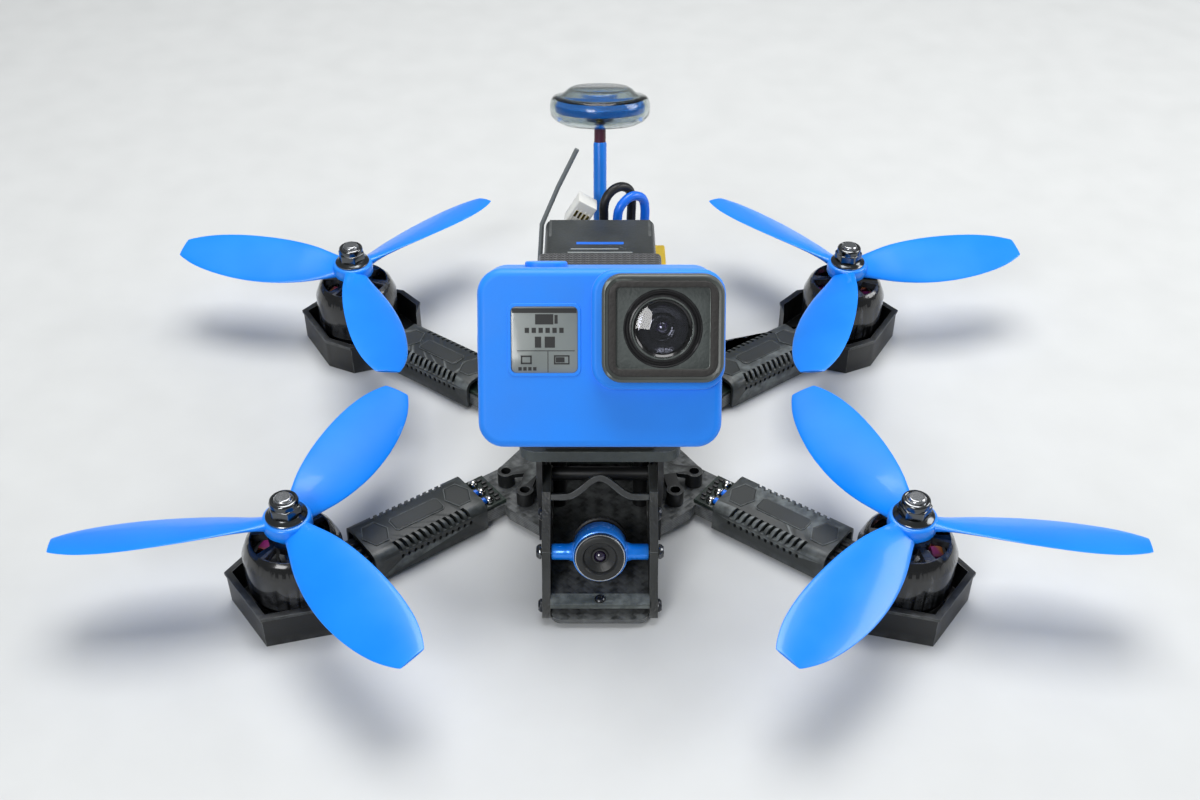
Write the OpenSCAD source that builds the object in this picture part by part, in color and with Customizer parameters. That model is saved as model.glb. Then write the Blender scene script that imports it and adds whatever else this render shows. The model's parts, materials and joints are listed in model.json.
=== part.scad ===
// Racing quadcopter with a forward video camera, an action camera, a top battery and a mushroom antenna.
// Millimetres. +Z is up and the nose points along -Y. The origin is on the ground, midway between the
// four motor shafts. Corner names are as the pilot sits: fl is front left, which is on +X.

/* [Layout] */
// Distance between the left and right motor shafts
motor_span_x = 169; // [160:1:210]
// Distance between the front and rear motor shafts
motor_span_y = 127; // [120:1:160]
// Height of the undersides of the arms above the ground
ride_h = 1.6; // [1.4:0.1:3]

/* [Frame] */
// Thickness of the carbon main plate and its arms
plate_t = 4; // [3:0.5:6]
// Width of an arm along its straight stretch
arm_w = 14.6; // [12:0.2:18]
// Outer width of the camera cage at the nose
cage_w = 32; // [30:0.5:40]
// Thickness of a cage side plate
cage_t = 2.3; // [1.5:0.1:3]
// Backward lean of the cage's front edge from upright
cage_lean = 38; // [32:1:40]
// Thickness of a body side panel
panel_t = 1.6; // [1.2:0.1:2.4]
// Height of the underside of the top deck above the ground
deck_z = 37.6; // [36:0.2:48]
// Thickness of the top deck
deck_t = 3.6; // [2:0.2:4]
// Width of the top deck
deck_w = 44.6; // [42:0.2:56]

/* [Motors and propellers] */
// Diameter of a motor bell
bell_d = 27.5; // [26:0.5:29]
// Height of the propeller seat above the arm
motor_h = 19; // [18:0.5:24]
// Diameter of the propeller shaft
shaft_d = 5; // [4:0.5:5]
// Diameter swept by a propeller
prop_d = 125; // [110:1:127]
// Height of the ring hub of a propeller
hub_h = 5; // [4:0.5:7]

/* [Speed controllers] */
// Length of a controller cover
cover_l = 37.5; // [32:0.5:42]
// Height of a controller cover's top above the top of the arm
cover_rise = 4.8; // [4.4:0.1:7]
// Wall of a controller cover
cover_wall = 1.2; // [0.8:0.1:1.4]

/* [Forward camera] */
// Height of the tilt pivot above the ground
pivot_z = 17; // [17:0.2:19]
// Upward tilt of the camera as stored
camera_tilt = 20; // [0:1:35]
// Outer diameter of the camera's ring bracket
ring_d = 15.2; // [14.8:0.2:18]

/* [Action camera] */
// Width of the action camera
action_w = 62.3; // [56:0.1:70]
// Height of the action camera
action_h = 45.8; // [40:0.1:52]
// Depth of the action camera's body
action_d = 24.6; // [20:0.1:28]
// Backward lean of the action camera
action_lean = 30; // [20:1:35]

/* [Battery and antenna] */
// Width of the battery
battery_w = 33; // [28:1:36]
// Length of the battery
battery_l = 58; // [50:1:62]
// Height of the battery
battery_h = 29; // [22:0.5:32]
// Diameter of the mushroom antenna's cap
mushroom_d = 31; // [26:1:34]
// Height of the mushroom antenna's cap base above the ground
mushroom_z = 88; // [84:0.2:110]
// Backward lean of the mushroom antenna from upright
antenna_lean = 17; // [0:1:25]

/* [Hidden] */
$fn = 48;

eps = 0.01;             // overlap that joins the solids of one piece
move_gap = 0.3;         // gap beside a moving piece
fit_gap = 0.25;         // gap all round a piece that drops into another
plate_top = ride_h + plate_t;
arm_angle = atan2(motor_span_y, motor_span_x);
motor_r = norm([motor_span_x, motor_span_y]) / 2;

// Motors: heights above the ground, radii about the shaft
seat_z = plate_top + motor_h;
base_t = 2.2;
base_r = bell_d / 2 - 1.25;
tube_r = 5;
bearing_r = 4;
bearing_h = 3;
bell_wall = 1.0;
magnet_t = 1.0;
stator_r = bell_d / 2 - bell_wall - magnet_t - 0.35;
stator_z = plate_top + base_t + 3.2;
stator_h = 6;
tooth_count = 9;
tooth_w = 2.4;
bell_z = plate_top + base_t + 0.4;
bell_top_t = 2;
mount_r = 8;            // motor screw circle radius
m3_r = 1.5;
m3_hole_r = 1.65;
running_gap = 0.04;     // radial gap between shaft and bearing

// Propellers
hub_r = 6.7;
boss_r = 4.3;
boss_h = 2;
hub_z = seat_z + boss_h;
blade_z = hub_z + hub_h / 2;
blade_stations = [5, 10, 16, 24, 31, 38, 46, 52, 57, 60, 62.2];
blade_chords = [9, 11.6, 15.6, 18.4, 19.6, 20, 19.2, 17.2, 14, 10.6, 6];
blade_sides = 10;
nut_flange_r = 5.7;
nut_r = 4;
nut_h = 6.1;

// Controllers and guards, measured along the arm from the centre of the craft
cover_w = arm_w + 2 * (cover_wall + fit_gap);
cover_x1 = motor_r - 20;
cover_x0 = cover_x1 - cover_l;
cover_z0 = ride_h - 0.6;
cover_top = plate_top + cover_rise;
board_t = 1.2;
board_tail = 8;
guard_wall = 1.5;       // the guard's floor is as thick as ride_h, so the arm rests on it
guard_h = 11;
slot_count = 10;
lead_r = 0.9;

// Body
cage_in = cage_w / 2 - cage_t;
panel_x = cage_w / 2;
panel_out = panel_x + panel_t;
nose_y = -75;
nose_t = 1.6;           // the main plate is this thin in front of the nose plate
nose_plate_y0 = -72.8;
nose_plate_y1 = -68.6;
nose_plate_z = ride_h + nose_t + 2;
bridge_swell = 9.8;     // half width of the bridge's raised middle
bridge_rise = 5.2;
deck_top = deck_z + deck_t;
deck_y0 = -48.5;
deck_y1 = 47;
cage_top = deck_z - 7.4;
nose_bar = [nose_plate_y0 + 2.2, nose_plate_z - 1];
cage_screws = [nose_bar, [-54.6, 24]];
small_screw_r = 1;
small_hole_r = 1.05;
cage_rear = -34;
panel_screws = [[cage_rear + small_screw_r + 0.6, plate_top + 4], [34, plate_top + 4]];
stack_x = 12.2;         // flight controller screws
stack_y = 15.25;
stack_z = plate_top + 5;
board_plate = 1.6;
posts = [[12.2, -29.4], [12.2, 25.4]];
post_r = 2.5;
post_screw = 5;         // how far a screw goes into a post
head_h = 1.3;
head_r = 2.7;
eyelets = [[panel_out + 10.9, 21], [panel_out + 4.8, 29.5]];
eyelet_r = 2.6;
eyelet_hole_r = 1.5;
eyelet_h = 5;
web_t = 1.6;
web_w = 4;
web_joint = [panel_out + 2.8, 19.5];

// Forward camera
pivot_y = -62.5;
pivot_ear = 3.4;        // material in front of the tilt pivot
arm_tube_r = 2.25;
arm_bore_r = 1.05;
lens_r = 7;
lens_front = 5.1;       // the lens stands this far in front of the pivot
ring_half = 3.5;
case_r = 7.8;
case_end = 9.5;
pivot_screw_r = 1.0;

// Action camera: the middle of its front face
action_y = -55.7;
action_z = deck_top + 36.8;
corner_r = 6.5;
lens_block = [30.4, 27];
lens_block_x = 15.6;
lens_block_z = 8.4;
lens_block_d = 8.4;
glass_r = 8.6;
screen_w = 17;
screen_x = -14.1;
screen_z = 4.9;
screen_t = 0.8;
button_x = -14;
button_l = 11;
button_w = 7;
button_depth = 2.4;
button_proud = 1.3;
button_travel = 0.8;

// Battery, leads and antennas
battery_y0 = -31;
battery_y1 = battery_y0 + battery_l;
battery_z = deck_top;
strap_w = 18;
strap_t = 1.2;
strap_y = -4;
strap_in = battery_w / 2 + 0.1;
power_lead_r = 1.45;
balance_lead_r = 0.9;
balance_route = [[-1, 27, 43], [-1, 30, 43], [-2, 32.6, 43.8], [-4.4, 34.4, 45.6], [-7.2, 35.2, 48.2],
                 [-9.6, 35.2, 51.6], [-11, 34.9, 55.6], [-11.3, 34.6, 59.4], [-10.7, 34.4, 62.6],
                 [-9.4, 34.4, 64.8]];
plug_size = [9.4, 5.8, 6.4];
positive_route = [[5.4, 27, 60], [5.4, 28.4, 60], [5.4, 30.6, 60.5], [5.4, 32.5, 61.8], [5.4, 33.6, 63.7],
                  [5.4, 34, 66], [6, 34.4, 69.3], [7.6, 35.6, 71.2], [9.7, 37.2, 72], [11.8, 38.8, 71.2],
                  [13.4, 40, 69.3], [14, 40.4, 66.6], [14, 40.4, 60], [14, 40.2, 54], [14, 40, 49]];
negative_route = [[1.2, 27, 60], [1.2, 30, 60], [1.2, 32.6, 60.5], [1.2, 34.6, 61.8], [1.2, 35.8, 63.8],
                  [1.2, 36.2, 66.4], [1.2, 36.2, 68.7], [1.8, 36.6, 71.4], [3.4, 37.8, 73.3],
                  [5.5, 39.3, 74], [7.6, 40.8, 73.3], [9.2, 42, 71.4], [9.8, 42.4, 68.7],
                  [9.8, 42.2, 61], [9.8, 41.2, 55], [9.8, 40.4, 51.6], [9.8, 40.2, 49]];
connector = [16, 13, 7.8];
connector_x = 13;
connector_y = 40;
antenna_y = 41;
stalk_r = 2.05;
stalk_root = deck_top + 3;
stalk_l = (mushroom_z - stalk_root) / cos(antenna_lean);
disc_rise = 3.8;        // the disc stands this far above the cap's base
stem_r = 1.2;
receiver_route = [[-19.6, 22, deck_top + 1], [-18.5, 24, 57], [-17.7, 27.2, 68], [-12.6, 30, 79.4],
                  [-6.8, 32, 91]];
receiver_r = 0.75;

// ---------- helpers ----------

// Places its children at one corner; the children are drawn for the +X +Y corner.
module corner(sx, sy) {
    mirror([sx < 0 ? 1 : 0, 0, 0])
        mirror([0, sy < 0 ? 1 : 0, 0])
            children();
}

module all_corners() {
    for (sx = [-1, 1], sy = [-1, 1])
        corner(sx, sy)
            children();
}

// Places its children on each arm, which then runs along +X.
module on_arms() {
    all_corners()
        rotate([0, 0, arm_angle])
            children();
}

// Places its children at one motor shaft, unturned.
module at_motor(sx, sy) {
    translate([sx * motor_span_x / 2, sy * motor_span_y / 2, 0])
        children();
}

module on_motors() {
    for (sx = [-1, 1], sy = [-1, 1])
        at_motor(sx, sy)
            children();
}

// A flat bar of width w from p to q.
module bar(p, q, w) {
    translate(p)
        rotate([0, 0, atan2(q[1] - p[1], q[0] - p[0])])
            translate([0, -w / 2])
                square([norm(q - p), w]);
}

module rounded_square(size, r) {
    for (sx = [-1, 1], sy = [-1, 1])
        translate([sx * (size[0] / 2 - r), sy * (size[1] / 2 - r)])
            circle(r = r);
    square([size[0], size[1] - 2 * r], center = true);
    square([size[0] - 2 * r, size[1]], center = true);
}

// An upright outline in the Y-Z plane, as thick as t along +X from x.
module side_outline(x, t) {
    translate([x, 0, 0])
        rotate([90, 0, 90])
            linear_extrude(t)
                children();
}

module ring(r_out, r_in, h) {
    difference() {
        cylinder(r = r_out, h = h);
        translate([0, 0, -eps])
            cylinder(r = r_in, h = h + 2 * eps);
    }
}

// A button-head screw pointing down from its head, with a hexagon socket.
module screw(r, length, head_r, head_h) {
    difference() {
        union() {
            translate([0, 0, -length])
                cylinder(r = r, h = length + eps);
            rotate_extrude()
                polygon([[0, 0], [head_r, 0], [head_r, head_h * 0.45], [head_r * 0.72, head_h], [0, head_h]]);
        }
        translate([0, 0, head_h * 0.4])
            cylinder(r = head_r * 0.45, h = head_h, $fn = 6);
    }
}

// One tube along a list of points, made as a single closed solid.
function unit(v) = v / norm(v);
function tangent(route, i) = unit(route[min(i + 1, len(route) - 1)] - route[max(i - 1, 0)]);
function ring_side(t) = unit(cross(t, abs(t[1]) < 0.9 ? [0, 1, 0] : [1, 0, 0]));
function ring_points(route, i, r, n) =
    let (t = tangent(route, i), a = ring_side(t), b = cross(t, a))
    [for (k = [0:n - 1]) route[i] + r * (cos(360 * k / n) * a + sin(360 * k / n) * b)];

module tube_along(route, r, n = 8) {
    last = len(route) - 1;
    points = [for (i = [0:last]) each ring_points(route, i, r, n)];
    sides = [for (i = [0:last - 1], k = [0:n - 1])
        [i * n + k, i * n + (k + 1) % n, (i + 1) * n + (k + 1) % n, (i + 1) * n + k]];
    ends = [[for (k = [n - 1:-1:0]) k], [for (k = [0:n - 1]) last * n + k]];
    mirror_faces = [for (face = concat(sides, ends)) [for (j = [len(face) - 1:-1:0]) face[j]]];
    polyhedron(points, mirror_faces);
}

// ---------- frame ----------

// The body of the main plate, with wide shoulders where the arms leave it.
module plate_shoulders() {
    linear_extrude(plate_t)
        polygon([
            [-18, -40], [-27, -33], [-35, -20], [-22, 0], [-35, 20], [-27, 33], [-18, 40],
            [18, 40], [27, 33], [35, 20], [22, 0], [35, -20], [27, -33], [18, -40]
        ]);
}

module plate_nose() {
    half = cage_in - 0.1;
    translate([-half, nose_plate_y1, 0])
        cube([2 * half, 40, plate_t]);
    translate([0, nose_y + 10, 0])
        linear_extrude(nose_t)
            rounded_square([2 * half, 20], 3);
}

module main_plate() {
    color("#202224")
        difference() {
            translate([0, 0, ride_h]) {
                plate_shoulders();
                plate_nose();
                on_arms() {
                    translate([20, -arm_w / 2, 0])
                        cube([motor_r - 20, arm_w, plate_t]);
                    translate([motor_r, 0, 0])
                        cylinder(r = base_r, h = plate_t);
                }
            }
            on_motors()
                motor_holes();
            on_stack()
                cylinder(r = m3_hole_r, h = 20);
            on_posts()
                cylinder(r = m3_hole_r, h = 20);
        }
}

module on_stack() {
    for (sx = [-1, 1], sy = [-1, 1])
        translate([sx * stack_x, sy * stack_y, 0])
            children();
}

module on_posts() {
    for (s = [-1, 1], spot = posts)
        translate([s * spot[0], spot[1], 0])
            children();
}

module motor_holes() {
    for (a = [45:90:315])
        rotate([0, 0, a])
            translate([mount_r, 0, -eps])
                cylinder(r = m3_hole_r, h = plate_top + 1);
    translate([0, 0, ride_h - eps])
        cylinder(r = 3, h = plate_t + 2 * eps);
}

// Where the leaning front edge of the cage is, at height z.
function cage_front(z) = nose_y + (z - ride_h) * tan(cage_lean);

// Side view of the camera cage: the front edge leans back, with an ear in front of the tilt pivot.
module cage_outline() {
    difference() {
        polygon([[nose_y + 2, ride_h], [cage_front(ride_h + 1.2), ride_h + 1.2],
                 [cage_front(pivot_z - 10), pivot_z - 10], [pivot_y - pivot_ear - 0.6, pivot_z - 2.4],
                 [pivot_y - pivot_ear + 0.6, pivot_z + 2.4], [cage_front(pivot_z + 10), pivot_z + 10],
                 [cage_front(cage_top), cage_top], [cage_rear - 7, cage_top], [cage_rear, 24], [cage_rear, plate_top],
                 [-42, plate_top], [-42, ride_h]]);
        translate([pivot_y, pivot_z])
            circle(r = pivot_screw_r + running_gap);
        for (spot = cage_screws)
            translate(spot)
                circle(r = small_hole_r);
        translate([-44, 15])
            rounded_square([8, 10], 2.5);
    }
}

module cage_plate(side) {
    color("#2a2c2e")
        side_outline(side > 0 ? cage_in : -cage_in - cage_t, cage_t)
            cage_outline();
}

module left_cage_plate() {
    cage_plate(1);
}

module right_cage_plate() {
    cage_plate(-1);
}

// Side view of a body panel, with three windows and a notch for the battery strap.
module panel_outline() {
    difference() {
        polygon([[-46, plate_top], [40, plate_top], [46, plate_top + 7], [46, deck_z], [-48, deck_z],
                 [-50, deck_z - 3], [-50, plate_top + 22], [-46, plate_top + 14]]);
        for (y = [-20, 6, 32])
            translate([y, (plate_top + deck_z) / 2])
                rounded_square([20, deck_z - plate_top - 16], 4);
        for (spot = panel_screws)
            translate(spot)
                circle(r = small_hole_r);
        translate([strap_y - strap_w / 2 - 0.5, deck_z - strap_t - 1])
            square([strap_w + 1, 5]);
    }
}

module side_panel(side) {
    color("#17181a")
        side_outline(side > 0 ? panel_x : -panel_out, panel_t)
            panel_outline();
}

module left_side_panel() {
    side_panel(1);
}

module right_side_panel() {
    side_panel(-1);
}

// Height of the bridge's top line at x: level beside the plates, then a smooth swell in the middle.
function bridge_line(x) = abs(x) < bridge_swell ? bridge_rise * (1 + cos(180 * x / bridge_swell)) / 2 : 0;

// The way the line climbs at x, as an angle.
function bridge_slope(x) = atan((bridge_line(x + 0.01) - bridge_line(x - 0.01)) / 0.02);

// Strip that ties the tops of the cage plates, square to the leaning front edge.
module front_bridge() {
    band = 1.8;
    depth = 7;
    stations = concat([-cage_in], [for (k = [-12:12]) bridge_swell * k / 12], [cage_in]);
    upper = [for (x = stations) [x, bridge_line(x)]];
    lower = [for (k = [len(stations) - 1:-1:0])
        let (x = stations[k], a = abs(x) < bridge_swell ? bridge_slope(x) : 0)
        [x + band * sin(a), bridge_line(x) - band * cos(a)]];
    color("#2b2d2f")
        translate([0, cage_front(cage_top - 0.4), cage_top - 0.4])
            rotate([90 - cage_lean, 0, 0])
                translate([0, 0, -depth])
                    linear_extrude(depth)
                        polygon(concat(upper, lower));
}

module nose_plate() {
    color("#3a3d3f")
        difference() {
            translate([-cage_in, nose_plate_y0, nose_plate_z])
                cube([2 * cage_in, nose_plate_y1 - nose_plate_y0, nose_t]);
            translate([0, nose_plate_y0 + 2, 0])
                cylinder(r = small_hole_r, h = 30);
        }
}

// Clearance for the strap where it passes beside the battery.
module strap_slots() {
    for (s = [-1, 1])
        translate([s * (strap_in + strap_t / 2), strap_y, (deck_z + deck_top) / 2])
            cube([strap_t + 0.5, strap_w + 0.6, deck_t + 1], center = true);
}

module top_deck() {
    color("#303335")
        difference() {
            translate([0, (deck_y0 + deck_y1) / 2, deck_z])
                linear_extrude(deck_t)
                    rounded_square([deck_w, deck_y1 - deck_y0], 4.5);
            strap_slots();
            on_posts() {
                cylinder(r = m3_hole_r, h = 60);
                translate([0, 0, deck_top - head_h - 0.1])
                    cylinder(r = head_r + 0.1, h = 5);
            }
            translate([0, antenna_y, 0])
                cylinder(r = 3.15, h = 60);
        }
}

module standoffs() {
    color("#101112") {
        on_posts()
            translate([0, 0, plate_top])
                ring(post_r, m3_r, deck_z - plate_top);
        translate([-cage_in, nose_bar[0], nose_bar[1]])
            rotate([0, 90, 0])
                cylinder(r = 1, h = 2 * cage_in);
        translate([-cage_in, -39, cage_top - 5])
            rotate([0, 90, 0])
                cylinder(r = 2, h = 2 * cage_in);
    }
}

module arm_bracket() {
    color("#1c1d1f")
        translate([0, 0, plate_top])
            difference() {
                union() {
                    for (spot = eyelets)
                        translate(spot)
                            cylinder(r = eyelet_r, h = eyelet_h);
                    translate([0, 0, eyelet_h - web_t])
                        linear_extrude(web_t) {
                            for (spot = eyelets)
                                bar(web_joint, spot, web_w);
                            translate(web_joint)
                                circle(r = web_w * 0.65);
                            bar([panel_out, web_joint[1]], web_joint, web_w * 1.6);
                        }
                    translate([panel_out, web_joint[1] - 4, eyelet_h - 4])
                        cube([1.2, 8, 6]);
                }
                for (spot = eyelets)
                    translate([spot[0], spot[1], -eps])
                        cylinder(r = eyelet_hole_r, h = eyelet_h + 2 * eps);
            }
}

module arm_brackets() {
    all_corners()
        arm_bracket();
}

// A screw with its head under the main plate, pointing up.
module screw_from_below(length) {
    translate([0, 0, ride_h])
        rotate([180, 0, 0])
            screw(m3_r - 0.05, length, head_r, 1.2);
}

module frame_screws() {
    color("#8d9094") {
        for (s = [-1, 1], spot = cage_screws)
            translate([s * cage_w / 2, spot[0], spot[1]])
                rotate([0, s * 90, 0])
                    screw(small_screw_r, cage_t - 0.1, 1.9, 1.1);
        for (s = [-1, 1], spot = panel_screws)
            translate([s * panel_out, spot[0], spot[1]])
                rotate([0, s * 90, 0])
                    screw(small_screw_r, panel_t + 1, 1.7, 1);
        translate([0, nose_plate_y0 + 2, nose_plate_z + nose_t])
            screw(small_screw_r, nose_t, 1.5, 0.8);
        on_stack()
            screw_from_below(stack_z + board_plate - ride_h);
        on_posts() {
            screw_from_below(plate_t + post_screw);
            translate([0, 0, deck_top - head_h])
                screw(m3_r - 0.05, deck_t - head_h + post_screw, head_r, head_h - 0.1);
        }
        on_motors()
            for (a = [45:90:315])
                rotate([0, 0, a])
                    translate([mount_r, 0, 0])
                        screw_from_below(plate_t + 1.8);
    }
}

// ---------- electronics in the body ----------

// A square board on four soft spacers, with chips on top.
module board_stack(z, size, chips) {
    translate([0, 0, z])
        difference() {
            linear_extrude(board_plate)
                rounded_square(size, 3);
            on_stack()
                translate([0, 0, -eps])
                    cylinder(r = m3_hole_r, h = 3);
        }
    for (chip = chips)
        translate([chip[0], chip[1], z + board_plate - eps])
            linear_extrude(chip[4])
                square([chip[2], chip[3]], center = true);
    on_stack()
        translate([0, 0, plate_top])
            ring(3, m3_hole_r, z - plate_top + eps);
}

module flight_controller() {
    color("#143524")
        board_stack(stack_z, [31, 36],
                    [[0, 0, 9, 9, 1.2], [8, -9, 5, 5, 1], [-8, 8, 6, 4, 1.4], [0, 14, 9, 5, 3]]);
}

module video_transmitter() {
    color("#1b2a55")
        translate([0, 30, plate_top + 10]) {
            linear_extrude(1.4)
                rounded_square([18, 26], 1.5);
            translate([-7, -9, 1.4 - eps])
                cube([14, 16, 2.6]);
            translate([-9, 10, -10])
                cube([18, 3, 10 + eps]);
        }
}

// ---------- motors ----------

module motor_base() {
    difference() {
        union() {
            translate([0, 0, plate_top])
                cylinder(r = base_r, h = base_t);
            translate([0, 0, plate_top])
                cylinder(r = tube_r, h = stator_z + stator_h - plate_top);
        }
        translate([0, 0, plate_top - eps])
            cylinder(r = bearing_r, h = 30);
        for (a = [45:90:315])
            rotate([0, 0, a])
                translate([mount_r, 0, plate_top - eps])
                    cylinder(r = m3_r, h = 10);
    }
}

module motor_bases() {
    color("#1a1b1d")
        on_motors()
            motor_base();
}

module motor_stators() {
    color("#565a5f")
        on_motors()
            translate([0, 0, stator_z]) {
                ring(tube_r + 1.6, tube_r, stator_h);
                intersection() {
                    ring(stator_r, tube_r + 1, stator_h);
                    union() {
                        for (k = [0:tooth_count - 1])
                            rotate([0, 0, 360 * k / tooth_count]) {
                                translate([tube_r + 1, -tooth_w / 2, -1])
                                    cube([stator_r, tooth_w, stator_h + 2]);
                                translate([stator_r - 1.1, -3.2, -1])
                                    cube([3, 6.4, stator_h + 2]);
                            }
                    }
                }
            }
}

module motor_windings() {
    coil_w = 1.1;
    coil_x = tube_r + 1.8;
    color("#c8662a")
        on_motors()
            for (k = [0:tooth_count - 1])
                rotate([0, 0, 360 * k / tooth_count])
                    translate([coil_x, 0, stator_z + stator_h / 2])
                        rotate([0, 90, 0])
                            linear_extrude(stator_r - 1.3 - coil_x)
                                difference() {
                                    square([stator_h + 2 * coil_w, tooth_w + 2 * coil_w], center = true);
                                    square([stator_h, tooth_w], center = true);
                                }
}

module motor_bearings() {
    color("#a9acb0")
        on_motors()
            for (z = [plate_top + 0.6, stator_z + stator_h - bearing_h])
                translate([0, 0, z])
                    ring(bearing_r, shaft_d / 2 + running_gap, bearing_h);
}

// Bell shell with a windowed top, a hub on the shaft and a ring of magnets.
module motor_bell(sx, sy) {
    bell_r = bell_d / 2;
    top_r = bell_r - 1.4;
    color("#1d1f22")
        at_motor(sx, sy) {
            difference() {
                rotate_extrude($fn = 64)
                    polygon([[bell_r - bell_wall, bell_z], [bell_r, bell_z + 0.5], [bell_r, seat_z - 5],
                             [top_r, seat_z - 1.6], [top_r - 1.2, seat_z - 0.4], [5.4, seat_z],
                             [shaft_d / 2, seat_z], [shaft_d / 2, seat_z - 3.4], [4.6, seat_z - 3.4],
                             [5.4, seat_z - bell_top_t],
                             [top_r - 1.6, seat_z - bell_top_t - 0.8], [bell_r - bell_wall, seat_z - 5.6]]);
                for (k = [0:5])
                    rotate([0, 0, 60 * k])
                        translate([0, 0, seat_z - 4.4])
                            rotate_extrude(angle = 44)
                                translate([6, 0])
                                    square([top_r - 7.6, 6]);
            }
            for (k = [0:13])
                rotate([0, 0, 360 * k / 14])
                    translate([0, 0, stator_z - 0.4])
                        rotate_extrude(angle = 22)
                            translate([bell_r - bell_wall - magnet_t, 0])
                                square([magnet_t + 0.1, stator_h + 0.8]);
        }
}

module motor_shaft(sx, sy) {
    shaft_r = shaft_d / 2;
    color("#9b9ea3")
        at_motor(sx, sy)
            rotate_extrude()
                polygon([[0, plate_top + 0.4], [shaft_r - 0.4, plate_top + 0.4], [shaft_r, plate_top + 0.8],
                         [shaft_r, hub_z + hub_h + nut_h + 0.2], [shaft_r - 0.5, hub_z + hub_h + nut_h + 0.7],
                         [0, hub_z + hub_h + nut_h + 0.7]]);
}

// ---------- propellers ----------

// Twist, thickness and sweep of a blade at radius r.
function blade_pitch(r) = 27 - 14 * (r - 5) / (prop_d / 2);
function blade_thickness(r) = 2.4 - 1.5 * min(1, r / 45);
function blade_shift(r) = -2.4 * sin(min(90, 2.2 * r));

// One station of a blade: a thin oval, twisted about the blade's own line.
function blade_ring(r, chord) =
    let (scale_r = r * prop_d / 125, pitch = blade_pitch(r), t = blade_thickness(r) / 2)
    [for (k = [0:blade_sides - 1])
        let (a = 360 * k / blade_sides, w = chord / 2 * cos(a), h = t * sin(a) * (0.35 + 0.65 * abs(sin(a))))
        [scale_r, blade_shift(r) + w * cos(pitch) - h * sin(pitch), w * sin(pitch) + h * cos(pitch)]];

module blade() {
    n = blade_sides;
    last = len(blade_stations) - 1;
    points = [for (i = [0:last]) each blade_ring(blade_stations[i], blade_chords[i])];
    sides = [for (i = [0:last - 1], k = [0:n - 1])
        let (a = i * n + k, b = i * n + (k + 1) % n)
        each [[a, a + n, b + n], [a, b + n, b]]];
    ends = [[for (k = [0:n - 1]) k], [for (k = [n - 1:-1:0]) last * n + k]];
    polyhedron(points, concat(sides, ends));
}

// hand is 1 for a propeller that turns clockwise seen from above, -1 for the other kind.
module propeller(sx, sy, hand, first_blade) {
    color("#0091ff")
        at_motor(sx, sy)
            difference() {
                union() {
                    translate([0, 0, seat_z])
                        cylinder(r = boss_r, h = boss_h + eps);
                    translate([0, 0, hub_z])
                        cylinder(r = hub_r, h = hub_h);
                    for (k = [0:2])
                        translate([0, 0, blade_z])
                            rotate([0, 0, first_blade + 120 * k])
                                mirror([0, hand < 0 ? 1 : 0, 0])
                                    blade();
                }
                translate([0, 0, seat_z - 4])
                    cylinder(r = shaft_d / 2, h = hub_h + 12);
            }
}

module prop_nut(sx, sy) {
    color("#3c3f43")
        at_motor(sx, sy)
            translate([0, 0, hub_z + hub_h])
                difference() {
                    union() {
                        rotate_extrude()
                            polygon([[0, 0], [nut_flange_r, 0], [nut_flange_r, 0.7], [nut_r, 1.7], [0, 1.7]]);
                        cylinder(r = nut_r / cos(30), h = nut_h - 1.6, $fn = 6);
                        cylinder(r = 3.55, h = nut_h);
                    }
                    translate([0, 0, -eps])
                        cylinder(r = shaft_d / 2, h = nut_h + 1);
                }
}

// ---------- speed controllers, guards and leads ----------

module esc_boards() {
    color("#15301f")
        on_arms()
            translate([0, 0, plate_top]) {
                translate([cover_x0 - board_tail, -arm_w / 2 + 0.6, 0])
                    cube([cover_l + board_tail - 1, arm_w - 1.2, board_t]);
                for (k = [0:2])
                    translate([cover_x0 + 6 + 9 * k, -5, board_t - eps])
                        cube([6.5, 10, 1.5]);
                for (k = [-1:1])
                    translate([cover_x0 - 3.4, 4.4 * k, board_t])
                        sphere(r = 1.35, $fn = 24);
            }
}

module cover_shell() {
    difference() {
        translate([cover_x0, -cover_w / 2, cover_z0])
            cube([cover_l, cover_w, cover_top - cover_z0]);
        translate([cover_x0 - 1, -cover_w / 2 + cover_wall, cover_z0 - 1])
            cube([cover_l + 2, cover_w - 2 * cover_wall, cover_top - cover_wall - cover_z0 + 1]);
        for (s = [-1, 1], k = [0:slot_count - 1]) {
            translate([cover_x0 + 8 + 2.3 * k, s * cover_w / 2, cover_top])
                cube([1.2, 5.6, 3.6], center = true);
            translate([cover_x0 + 8 + 2.3 * k, s * cover_w / 2, cover_top - 3.6])
                rotate([90, 0, 0])
                    cylinder(r = 0.5, h = 4, center = true, $fn = 16);
        }
    }
}

module esc_covers() {
    color("#3b4144")
        on_arms() {
            cover_shell();
            translate([cover_x0 + 9, -3, cover_top - eps])
                cube([cover_l - 18, 6, 0.3]);
        }
}

// Three short wires from each motor to its controller, lying on the arm.
module motor_leads() {
    color("#141414")
        on_arms()
            for (k = [-1:1])
                translate([cover_x1 - 1, 3.6 * k, plate_top + lead_r])
                    rotate([0, 90, 0])
                        cylinder(r = lead_r, h = motor_r - base_r - cover_x1 + 1);
}

module esc_power_leads() {
    color("#0091ff")
        on_arms()
            for (k = [0:1])
                translate([cover_x0 - 2, 4.4 * k, plate_top + board_t + 1])
                    rotate([0, 90, 0])
                        cylinder(r = 1, h = 7.5);
}

// Plan of a guard about the motor shaft: a blunt tip that widens towards the arm.
function guard_plan(inset) =
    let (bell_r = bell_d / 2, tip = bell_r + 2.55 - inset, side = bell_r + 5.25 - inset * 1.1,
         heel = bell_r + 3.25)
    [[tip, -11 + inset * 0.6], [tip, 11 - inset * 0.6], [-3, side], [-13, side - 2],
     [-heel, 11], [-heel, -11], [-13, 2 - side], [-3, -side]];

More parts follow.
